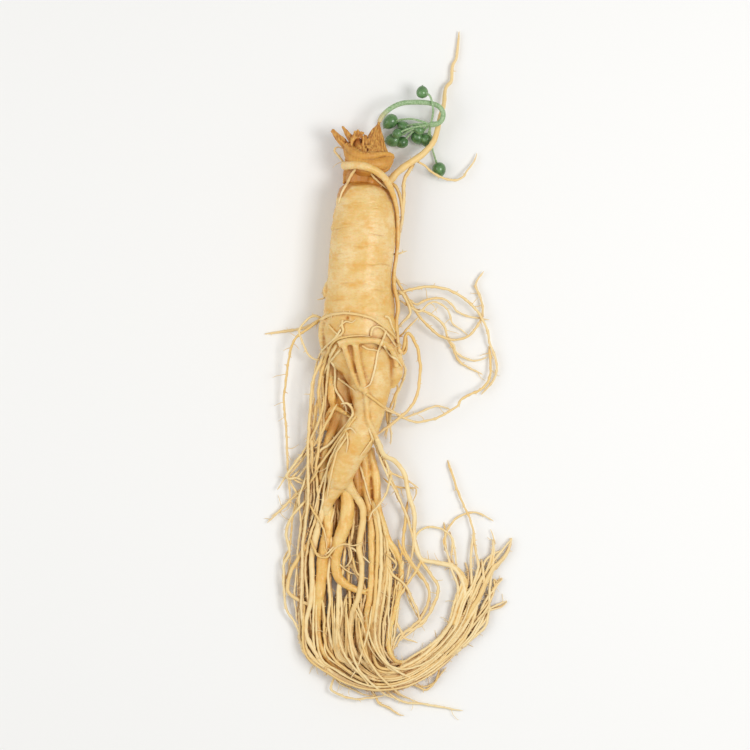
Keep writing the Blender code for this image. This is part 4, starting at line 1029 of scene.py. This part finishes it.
# Columns of the bundle down to its bend: (width, level, points). A level of 1 lies on top of the pile.
COLUMNS = [
    (1.4, 0.5, 309, 430, 307.5, 460, 307.5, 490, 305, 520, 302.5, 545, 300.5, 575, 300.5, 600, 299.5, 622,
     303, 648),
    (1.3, 0.7, 313, 470, 310, 500, 305, 525, 303.5, 550, 303, 575, 302.5, 600, 303, 622, 306, 648),
    (1.5, 0.3, 315.3, 460, 313.5, 490, 311, 520, 309.5, 550, 309.8, 590, 307, 622, 310, 648),
    (1.2, 0.5, 318.5, 460, 318.5, 490, 316, 520, 310, 542, 306.5, 565, 306, 595, 311, 625, 318, 650),
    (1.3, 0.9, 316, 590, 322, 600, 324, 620, 324, 636, 329, 652),
    (1.4, 0.6, 331, 512, 329, 535, 330, 555, 330, 575, 330.5, 600, 330, 622, 329.5, 648),
    (2.1, 0.8, 340, 574, 338.5, 588, 338.3, 603, 337.5, 625, 336.5, 648),
    (1.6, 0.6, 352, 590, 347, 596, 344.5, 605, 342.5, 625, 341.5, 648),
    (1.3, 0.7, 349.4, 518, 348.5, 540, 350, 556, 348.5, 575, 349.8, 600, 348.5, 625, 347.5, 648),
    (1.3, 0.8, 352, 592, 355, 604, 352.5, 625, 353.5, 648),
    (1.5, 0.9, 359, 592, 358, 606, 362, 618, 362, 634, 360, 650),
    (1.3, 0.4, 361, 510, 358, 530, 357, 550, 358, 575, 361, 600, 358, 625, 356, 648),
    (1.9, 0.9, 371, 498, 374.4, 510, 376.5, 522, 377.5, 535, 377.5, 552, 376.5, 575, 375, 600, 372, 625,
     373, 648),
    (1.8, 1, 373, 500, 376.5, 511, 379, 523, 381, 540, 381.5, 556, 380.5, 578, 377.5, 602, 375, 625, 376,
     648),
    (1.6, 0.7, 374, 502, 378.5, 514, 382.5, 530, 384.5, 550, 384, 575, 380.5, 602, 377.5, 625, 378.5, 648),
    (1.5, 0.8, 376, 500, 380.5, 516, 386, 536, 388, 556, 387, 577, 383, 603, 379.5, 625, 381, 648),
]
# Stations of the sweep, each from its outer side to its inner side
STATIONS = [
    ((331, 676), (368, 648)),
    ((358, 687.5), (379, 664)),
    ((383, 691), (392, 668)),
    ((408, 686), (407, 664)),
    ((432, 674), (424, 653)),
    ((453, 657), (438, 640)),
    ((473, 638), (450, 622)),
    ((487, 612), (457.5, 601)),
    ((486, 590), (461, 586)),
]
# Tips of the sweep: (rank from the outer side, route)
TIPS = [
    (0, [(482, 628), (487, 620), (489, 611), (488, 603)]),
    (0.12, [(482, 612.6), (490.7, 609), (501, 606.6), (507, 602)]),
    (0.26, [(484, 613), (489, 605), (492.5, 597), (496, 587), (497.6, 583), (503, 579)]),
    (0.4, [(478, 600), (484, 586.8), (489, 576), (493.5, 568), (500, 562.7), (508, 552), (512, 538.5)]),
    (0.55, [(472, 600), (480, 583), (485.6, 573), (490.7, 561), (492.5, 552), (493, 540)]),
    (0.68, [(465, 602), (473, 588), (480.5, 570), (482, 560)]),
    (0.78, [(462, 604), (470, 590), (475, 580), (479, 566), (478, 559), (475, 549), (474, 531.6)]),
    (0.88, [(460, 603), (466.6, 590), (469, 576), (466, 563.5)]),
    (1, [(458, 603), (463, 590), (465, 581.6), (461.5, 573), (454.6, 567), (446, 564.4), (432, 562),
         (422, 559)]),
]
STATIONS_TO_TIP = 7
FIRST_COLUMN = 302
COLUMN_SPAN = 80
COLUMN_END = 652
SWEEP_STRANDS = 58
LOW_COLUMNS = 26
GAP_STRANDS = 18
PILE_FLOOR = 1.2
PILE_HEIGHT = 9.5
FAN_HEIGHT = 5.0
FALL_POWER = 1.5
END_SHARE = 0.15
# A strand's knots, in millimetres: their gaps and half lengths, and how much thicker it is there
KNOT_GAPS = (2.2, 7)
KNOT_LENGTHS = (0.5, 0.8)
KNOT_GROWTH = (0.15, 0.5)
LONG_HAIR_SHARE = 0.2


def pairs(numbers):
    """A route from a row of numbers: x, y, x, y and so on."""
    return list(zip(numbers[::2], numbers[1::2]))


def lying(width, start_height, end_height, route):
    """A rootlet's route with a height and a width: it falls quickly from its start height, then lies."""
    points = []
    for i, (x, y) in enumerate(route):
        share = i / (len(route) - 1)
        height = end_height + (start_height - end_height) * (1 - share) ** FALL_POWER
        points.append((x, y, height, width * (1 - share * END_SHARE)))
    return points


def wander(along, phase, scales, amounts):
    """A smooth random value along a strand, from noise of several sizes."""
    sizes = list(zip(scales, amounts))
    return np.array([
        sum(amount * noise.noise(Vector((s / (scale * MM), phase, scale))) for scale, amount in sizes)
        for s in along
    ])


class Strands:
    """Grows rootlets with kinks, knots, stubs and side hairs into one mesh."""

    def __init__(self, name, seed, surface, material):
        self.tubes = Tubes()
        self.name = name
        self.rng = random.Random(seed)
        self.surface = surface
        self.material = material

    def piece(self):
        return self.tubes.piece(self.name, self.material)

    def grow(self, points, over=False, wave=1.0, stubs=1.0, taper=9.0, knotty=1.0, lead=0.0):
        """A rootlet along the points. Over the length of its lead it rises out of what it grows from."""
        rng = self.rng
        knotty *= min(1.0, (1.3 / points[0][3]) ** 1.5)
        points = smooth_route(points, STRAND_STEP)
        if over:
            points = drape(points, self.surface, 0.1 - rng.uniform(0, 0.5))
        centres = np.array([place(*point[:3]) for point in points])
        radii = np.array([point[3] for point in points]) * MM / 2
        if over:
            ends = np.concatenate([[centres[0, 2]] * 2, centres[:, 2], [centres[-1, 2]] * 2])
            level = np.convolve(ends, (0.1, 0.2, 0.4, 0.2, 0.1), mode="valid")
            centres[:, 2] = np.maximum(centres[:, 2], level)
        along = np.concatenate([[0], np.cumsum(np.linalg.norm(np.diff(centres, axis=0), axis=1))])
        tangents = unit(np.gradient(centres, axis=0))
        phase = rng.uniform(0, 1000)
        fade = np.clip(along / (4 * MM), 0, 1) * wave * MM
        sideways = wander(along, phase, (7, 2.8, 1.5), (0.35, 0.22, 0.10)) * fade
        centres[:, 0] -= tangents[:, 1] * sideways
        centres[:, 1] += tangents[:, 0] * sideways
        if not over:
            centres[:, 2] += wander(along, phase + 50, (8,), (0.2,)) * fade
        radii = radii * (1 + wander(along, phase + 90, (1.4, 4), (0.16 * knotty, 0.12)))
        knots = []
        spot = rng.uniform(1, 4) * MM
        while spot < along[-1] - 1 * MM:
            knots.append(spot)
            growth = knotty * rng.uniform(*KNOT_GROWTH)
            radii *= 1 + growth * np.exp(-(((along - spot) / (rng.uniform(*KNOT_LENGTHS) * MM)) ** 2))
            spot += rng.uniform(*KNOT_GAPS) * MM
        if taper:
            radii *= np.clip((along[-1] - along) / (taper * MM), 0, 1) ** 0.5 * 0.7 + 0.3
        if lead:
            share = np.clip(along / (lead * MM), 0, 1)
            radii *= 0.35 + 0.65 * share**0.7
            centres[:, 2] -= (1 - share) ** 2 * 2.5 * MM
        centres[:, 2] = np.maximum(centres[:, 2], radii * 0.95 + FLOOR_LIFT * MM)
        wide = points[0][3]
        sides = 12 if wide > 3 else 9 if wide > 1.9 else 6
        tint = rng.random()
        self.tubes.add(centres, radii, sides, tint, along / along[-1])
        for spot in knots:
            if rng.random() < 0.5 * stubs:
                self.hair(centres, radii, along, tangents, spot, tint)

    def hair(self, centres, radii, along, tangents, spot, tint):
        """A short stub or, now and then, a fine side hair that droops to what is below."""
        rng = self.rng
        i = int(np.searchsorted(along, spot))
        if not 0 < i < len(centres) - 1:
            return
        heading = math.atan2(tangents[i, 1], tangents[i, 0]) + rng.choice((-1, 1)) * rng.uniform(0.6, 1.6)
        long = rng.random() < LONG_HAIR_SHARE
        length = (rng.uniform(2.5, 7) if long else rng.uniform(0.5, 1.3)) * MM + radii[i]
        radius = min(rng.uniform(0.16, 0.24) if long else rng.uniform(0.2, 0.32), radii[i] / MM * 0.6) * MM
        count = max(2, int(length / (0.8 * MM)))
        rise = rng.uniform(-0.4, 0.15) if long else rng.uniform(-0.2, 0.6)
        at = centres[i].copy()
        path = [at]
        for _ in range(count):
            heading += rng.uniform(-0.35, 0.35)
            at = at + np.array([math.cos(heading), math.sin(heading), rise]) * length / count
            at[2] = max(at[2], radius + FLOOR_LIFT * MM)
            path.append(at)
        shares = np.linspace(0, 1, len(path))
        self.tubes.add(np.array(path), radius * (1 - 0.5 * shares), 4, tint, 0.6 + 0.4 * shares)


def between(first, second, share):
    """The point at this share of the way from the first to the second."""
    return tuple(a + (b - a) * share for a, b in zip(first, second))


def sweep_route(rank, column, width, level, rng, stations=STATIONS_TO_TIP, to_tip=True):
    """A strand's way round the bend. It keeps its rank between the outer and inner side, to its tip."""
    low = PILE_FLOOR + (PILE_HEIGHT * 0.75 - PILE_FLOOR) * level
    high = 1.5 + (PILE_HEIGHT - 1.5) * level
    flat = 1.0 + (FAN_HEIGHT - 1.0) * level
    points = [(x, y, low, width) for x, y in column]
    heights = (high, high, high, high, (high + flat) / 2, flat, flat, flat * 0.8, flat * 0.6)
    for station, height in list(zip(STATIONS, heights))[:stations]:
        rank = min(1, max(0, rank + rng.uniform(-0.04, 0.04)))
        x, y = between(*station, rank)
        if x > points[-1][0] + 4 or (x > 440 and y < points[-1][1] - 8):
            points.append((x, y, height, width * 0.9))
    if to_tip:
        _, tip = min(TIPS, key=lambda entry: abs(entry[0] - rank - rng.uniform(-0.08, 0.08)))
        slide = rng.uniform(-1.8, 1.8)
        for k, (x, y) in enumerate(tip):
            share = k / (len(tip) - 1)
            points.append((
                x + slide * (1 - 0.7 * share), y + slide * (1 - 0.7 * share), flat * (1 - 0.75 * share),
                width * (0.8 - 0.25 * share),
            ))
    return points


def rank_of(x):
    """A column's rank: 0 on the outer, left side of the bundle and 1 on the inner side."""
    return min(1, max(0, (x - FIRST_COLUMN) / COLUMN_SPAN))


def bundle_pieces(surface, material):
    """The rootlets that run down from the legs, round the bend and out to the fan of tips."""
    upper = Strands("rootlet_bundle", SEED + 20, surface, material)
    sweep = Strands("rootlet_sweep", SEED + 21, surface, material)
    rng = random.Random(SEED + 30)
    for width, level, *numbers in COLUMNS:
        column = pairs(numbers)
        rank = rank_of(column[-1][0])
        upper.grow(sweep_route(rank, column, width, level, rng), wave=0.8, knotty=0.7, lead=8)
        twin = [(x + rng.uniform(-2.5, 2.5), y) for x, y in column]
        below = level * rng.uniform(0, 0.8)
        route = sweep_route(rank, twin, width * 0.7, below, rng, rng.choice((7, 8, 9)), False)
        upper.grow(route, wave=1.1, knotty=0.7, lead=8)
    for route in LONG_BRANCHES:
        upper.grow(route, wave=0.7)
    for k in range(SWEEP_STRANDS):
        rank = (k + rng.uniform(0.2, 0.8)) / SWEEP_STRANDS
        start = FIRST_COLUMN + COLUMN_SPAN * rank
        top = (start + rng.uniform(-3, 3), rng.uniform(572, 628))
        column = [top, (start + rng.uniform(-1, 1), COLUMN_END)]
        stations = rng.choice((6, 7, 7, 8, 8, 9))
        to_tip = k % 6 == 0 and stations == STATIONS_TO_TIP
        route = sweep_route(rank, column, rng.uniform(0.7, 1.4), rng.uniform(0, 1), rng, stations, to_tip)
        sweep.grow(route, wave=0.4, stubs=0.35, knotty=0.6, lead=10)
    for k in range(LOW_COLUMNS):
        start = 304 + 76 * (k + rng.uniform(0, 1)) / LOW_COLUMNS
        top = rng.uniform(470, 590) if start < 322 else rng.uniform(560, 605)
        column = [(start + rng.uniform(-3, 3), y) for y in np.linspace(top, COLUMN_END, 4)]
        width, level = rng.uniform(0.8, 1.3), rng.uniform(0, 0.45)
        route = sweep_route(rank_of(start), column, width, level, rng, 6, False)
        upper.grow(route, wave=0.9, stubs=0.5, lead=8)
    grow_fan(sweep)
    grow_in_gaps(upper, rng)
    return [upper, sweep]


def grow_fan(sweep):
    """The thick tips of the fan, and the curls that turn back from it."""
    for width, tip in ((2.3, TIPS[3][1]), (1.6, TIPS[4][1]), (1.5, TIPS[6][1])):
        route = [(x, y, 4.5 - 0.35 * k, width * (1 - 0.07 * k)) for k, (x, y) in enumerate(tip)]
        sweep.grow([(452, 640, 3.5, width)] + route)
    for k in range(5):
        slide = (k - 2) * 1.3
        route = [(452 + slide, 625, 4, 1.3)]
        for j, (x, y) in enumerate(TIPS[-1][1]):
            route.append((x + slide * (1 - j / 9), y + slide * (1 - j / 9), 4, 1.3))
        sweep.grow(route, wave=0.6)


def grow_in_gaps(upper, rng):
    """Short strands between the fingers, and others that drift across the bundle's right side."""
    for first, last, bottom, count in ((333, 341, 545, 5), (349, 366, 565, 13)):
        for k in range(count):
            x = first + (last - first) * (k + rng.uniform(0.1, 0.9)) / count
            top = rng.uniform(488, 512)
            end = x + rng.uniform(-3, 3)
            width = rng.uniform(0.7, 1.2)
            start_height = 4 + 2 * rng.random()
            end_height = rng.uniform(1.5, 5)
            route = [
                (x * 0.6 + 0.4 * (first + last) / 2, top), (x + rng.uniform(-1, 1), (top + bottom) / 2),
                (end, bottom + rng.uniform(-6, 14)),
            ]
            upper.grow(lying(width, start_height, end_height, route), wave=1.1, lead=4)
    for k in range(GAP_STRANDS):
        start = (rng.uniform(386, 404), rng.uniform(540, 585))
        end = (rng.uniform(374, 391), rng.uniform(640, 664))
        bend = rng.uniform(0.25, 0.75)
        middle = (
            start[0] + (end[0] - start[0]) * bend + rng.uniform(-4, 5),
            start[1] + (end[1] - start[1]) * rng.uniform(0.3, 0.7),
        )
        route = lying(rng.uniform(0.7, 1.1), rng.uniform(2, 7), rng.uniform(2, 6), [start, middle, end])
        upper.grow(route, wave=1.4)


def laid_piece(surface, material):
    """The rootlets that lie on the body or cross over others, and the long root beside the crown."""
    strands = Strands("rootlets_on_body", SEED + 40, surface, material)
    for width, *numbers in LAID:
        route = lying(width * 0.9, 14, 3, pairs(numbers))
        strands.grow(route, over=True, wave=0.5, stubs=0.5, knotty=0.5)
    for width, start_height, end_height, *numbers in CROSSING:
        route = lying(width * 0.95, start_height, end_height, pairs(numbers))
        strands.grow(route, over=True, wave=0.6, stubs=0.7, knotty=0.6, lead=6)
    for route in OVER_BEND:
        strands.grow(route, wave=0.7, stubs=0.6, knotty=0.6, lead=8)
    strands.grow(CROWN_ROOT, wave=0.7, stubs=0.5)
    strands.grow([(*spot, 0, 1.3) for spot in HIP_ARC], over=True, wave=0.4)
    return strands


def free_pieces(surface, material):
    """The rootlets beside the body, in two pieces: right of the body's axis and left of it."""
    right = Strands("rootlets_right", SEED + 50, surface, material)
    left = Strands("rootlets_left", SEED + 51, surface, material)
    for lead, table in ((3, ROOTLETS), (8, BUNDLE_ROOTLETS), (3, STRAY_ROOTLETS), (4, FINE_ROOTLETS)):
        for width, start_height, end_height, *numbers in table:
            route = pairs(numbers)
            strands = right if route[len(route) // 2][0] > ORIGIN_PIXEL[0] else left
            strands.grow(lying(width * 0.95, start_height, end_height, route), lead=lead)
    right.grow(LEG_STRAND, wave=0.6)
    return [right, left]


def thick_piece(name, routes, voxel, gain, material):
    """Thick roots melted together, with uneven skins."""
    forms = [tube_mesh(smooth_route(route, FINE_STEP), 8) for route in routes]
    piece = melted(name, forms, voxel, 2)
    points = vertex_values(piece.data)
    move = bumps(points, (
        (0.35 * gain, (1, 0.7, 1), 5, 7), (0.2 * gain, (1, 0.5, 1), 1.6, 8),
        (0.13 * gain, (0.6, 2.2, 0.6), 1.2, 9),
    ))
    points += vertex_values(piece.data, "normal") * move[:, None]
    points[:, 2] = np.maximum(points[:, 2], FLOOR_LIFT * MM)
    set_coordinates(piece.data, points)
    write_folds(piece.data, 2, 18, 0.9 * MM)
    # Painted shade in the deep gaps between the fingers
    write_value(piece.data, "deep_shade", deep_shade_at(points, FINGER_DEEP_SHADE_SPOTS))
    piece.data.materials.append(material)
    return piece


# Shade in the folds
def ray_fan():
    """Directions spread over a half sphere round +Z."""
    golden = math.pi * (3 - math.sqrt(5))
    rays = []
    for k in range(SHADE_RAYS):
        height = 1 - (k + 0.5) / SHADE_RAYS * 0.9
        wide = math.sqrt(1 - height**2)
        rays.append((wide * math.cos(k * golden), wide * math.sin(k * golden), height))
    return np.array(rays)


def shut_in(tree, starts, outs):
    """How far each point is shut in by what stands round it, from 0 in the open to 1 deep in a fold."""
    rays = ray_fan()
    helper = np.where(np.abs(outs[:, 2:3]) < 0.9, (0.0, 0.0, 1.0), (1.0, 0.0, 0.0))
    across = unit(np.cross(outs, helper))
    along = np.cross(outs, across)
    values = np.zeros(len(starts))
    for i in range(len(starts)):
        start = Vector(starts[i])
        directions = rays @ np.array((across[i], along[i], outs[i]))
        total = 0.0
        for direction in directions:
            _, normal, _, distance = tree.ray_cast(start, Vector(direction), SHADE_REACH)
            if distance is not None:
                if normal.dot(direction) < 0:
                    total += 1 - (distance / SHADE_REACH) ** 2
            elif direction[2] < 0 and start.z < -direction[2] * SHADE_REACH:
                total += 0.4
        values[i] = total / SHADE_RAYS
    return values


def whole_tree(pieces):
    """A tree of all the pieces' faces, for the rays of the shade."""
    points = []
    faces = []
    for piece in pieces:
        first = len(points)
        points += vertex_values(piece.data).tolist()
        faces += [tuple(first + v for v in polygon.vertices) for polygon in piece.data.polygons]
    return BVHTree.FromPolygons(points, faces)


def shade_piece(piece, tree):
    """Writes the shade of a melted piece, point by point."""
    points = vertex_values(piece.data)
    outs = vertex_values(piece.data, "normal")
    values = shut_in(tree, points + outs * 0.12 * MM, outs)
    write_value(piece.data, "shade", neighbour_mean(values, edge_pairs(piece.data), 2))


def shade_strands(strands, piece, tree):
    """Writes the shade of strands, ring by ring."""
    gain = 0.6 if strands.name == "rootlets_on_body" else 1
    values = []
    for centres, radii, sides in strands.tubes.rings:
        starts = centres + np.outer(radii * 1.25, (0, 0, 1))
        ring = shut_in(tree, starts, np.tile((0.0, 0.0, 1.0), (len(centres), 1)))
        values.append(gain * np.concatenate([np.repeat(ring, sides), [ring[0], ring[-1]]]))
    write_value(piece.data, "shade", np.concatenate(values))


def berry_into(tubes, x, y, height, width, length, turn, rng):
    """A drop-shaped berry with a small point at its far end, as rings round its long axis."""
    heading = math.radians(turn)
    towards = Vector((UMBEL[0] - x, y - UMBEL[1]))
    if towards.x * math.cos(heading) + towards.y * math.sin(heading) > 0:
        heading += math.pi
    axis = np.array((math.cos(heading), math.sin(heading), 0.0))
    shares = np.concatenate([np.linspace(-1, 0.86, 17), (0.94, 1.0, 1.07)])
    round_part = np.sqrt(np.clip(1 - shares**2, 0, 1))
    ends = np.where(shares > 0.9, 0.10, 0.03)
    radii = width * MM / 2 * np.maximum(round_part * (1 - 0.10 * shares), ends)
    centre = np.array(place(x, y, height))
    centres = centre + shares[:, None] * axis * (length * MM / 2)
    tubes.add(centres, radii, 20, rng.random(), (shares + 1) / 2.07)


def stalk_pieces(stem_skin, berry_skin):
    """The stalk with its pedicels, and the berries."""
    rng = random.Random(SEED + 60)
    stem = Tubes()
    points = smooth_route(STALK, FINE_STEP)
    centres = np.array([place(*point) for point in points])
    shares = np.linspace(0, 1, len(points))
    swell = 0.25 * np.exp(-(((shares - 1) / 0.05) ** 2)) - 0.12 * np.exp(-((shares / 0.08) ** 2))
    stem.add(centres, STALK_WIDTH * MM / 2 * (1 + swell), 20, 0.5, shares)
    fruit = Tubes()
    for name, (x, y, height, width, length, turn) in BERRIES.items():
        route = [(*spot, PEDICEL_WIDTH) for spot in (UMBEL, *PEDICEL_BENDS[name], (x, y, height))]
        route = smooth_route(route, FINE_STEP)
        centres = np.array([place(*point[:3]) for point in route])
        along = np.linspace(0, 1, len(route))
        radii = PEDICEL_WIDTH * MM / 2 * (0.95 + 0.5 * along**12 + 0.1 * np.sin(along * 40))
        stem.add(centres, radii, 10, rng.random(), np.full(len(route), 0.8))
        berry_into(fruit, x, y, height, width, length, turn, rng)
    return [stem.piece("stalk", stem_skin), fruit.piece("berries", berry_skin)]


def camera_and_light():
    """The camera straight above, which sees what the photograph shows, two soft lights and a pale floor."""
    view_data = bpy.data.cameras.new("camera")
    view_data.sensor_width = SENSOR
    view_data.lens = SENSOR * CAMERA_DISTANCE / (PHOTO_SIZE * PIXEL)
    view_data.clip_end = 20
    camera = bpy.data.objects.new("camera", view_data)
    middle = place(PHOTO_SIZE / 2, PHOTO_SIZE / 2, 0)
    camera.location = (middle.x, middle.y, CAMERA_DISTANCE + 0.01)
    bpy.context.scene.collection.objects.link(camera)
    bpy.context.scene.camera = camera
    for name, location, size, watts in LIGHTS:
        lamp = bpy.data.lights.new(name, "AREA")
        lamp.energy = watts
        lamp.size = size
        light = bpy.data.objects.new(name, lamp)
        light.location = location
        light.rotation_euler = (-Vector(location)).to_track_quat("-Z", "Y").to_euler()
        bpy.context.scene.collection.objects.link(light)
    world = bpy.data.worlds.new("studio")
    world.use_nodes = True
    sky = world.node_tree.nodes["Background"].inputs
    sky["Color"].default_value = SKY_COLOUR
    sky["Strength"].default_value = SKY_STRENGTH
    bpy.context.scene.world = world
    bpy.ops.mesh.primitive_plane_add(size=FLOOR_SIZE)
    floor = bpy.context.object
    floor.name = "floor"
    paper = Shader("floor_paper", {"Roughness": 0.8, "Base Color": FLOOR_GREY})
    floor.data.materials.append(paper.material)


def finish_piece(piece, node):
    """Gives the piece its body, and hides the node that it replaces."""
    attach(piece, "root")
    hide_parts(node)


bpy.context.scene.view_settings.view_transform = "Standard"
camera_and_light()
body = body_piece(skin_material("root_skin", CREAM, PALE, (0.35, 1.6, 0.35)))
surface = BVHTree.FromObject(body, bpy.context.evaluated_depsgraph_get())
fine = rootlet_material()
lengthwise = skin_material("finger_skin", GOLD, GOLD_PALE, (1.5, 0.35, 1.5))
melted_pieces = [
    body,
    crown_piece(crown_material()),
    thick_piece("root_fingers", FINGERS, BODY_VOXEL, 1.0, lengthwise),
    thick_piece(
        "root_wrap", [drape(smooth_route(WRAP_ROUTE, FINE_STEP), surface, 0.2)], CROWN_VOXEL, 0.5,
        skin_material("wrap_skin", CREAM, PALE, (1.5, 0.35, 1.5)),
    ),
]
grown = [*bundle_pieces(surface, fine), laid_piece(surface, fine), *free_pieces(surface, fine)]
strand_pieces = [strands.piece() for strands in grown]
tree = whole_tree(melted_pieces + strand_pieces)
for piece in melted_pieces:
    shade_piece(piece, tree)
for strands, piece in zip(grown, strand_pieces):
    shade_strands(strands, piece, tree)
for piece in melted_pieces + strand_pieces:
    finish_piece(piece, "ginseng_root")
for piece in stalk_pieces(stalk_material(), berry_material()):
    finish_piece(piece, "fruit_stalk")
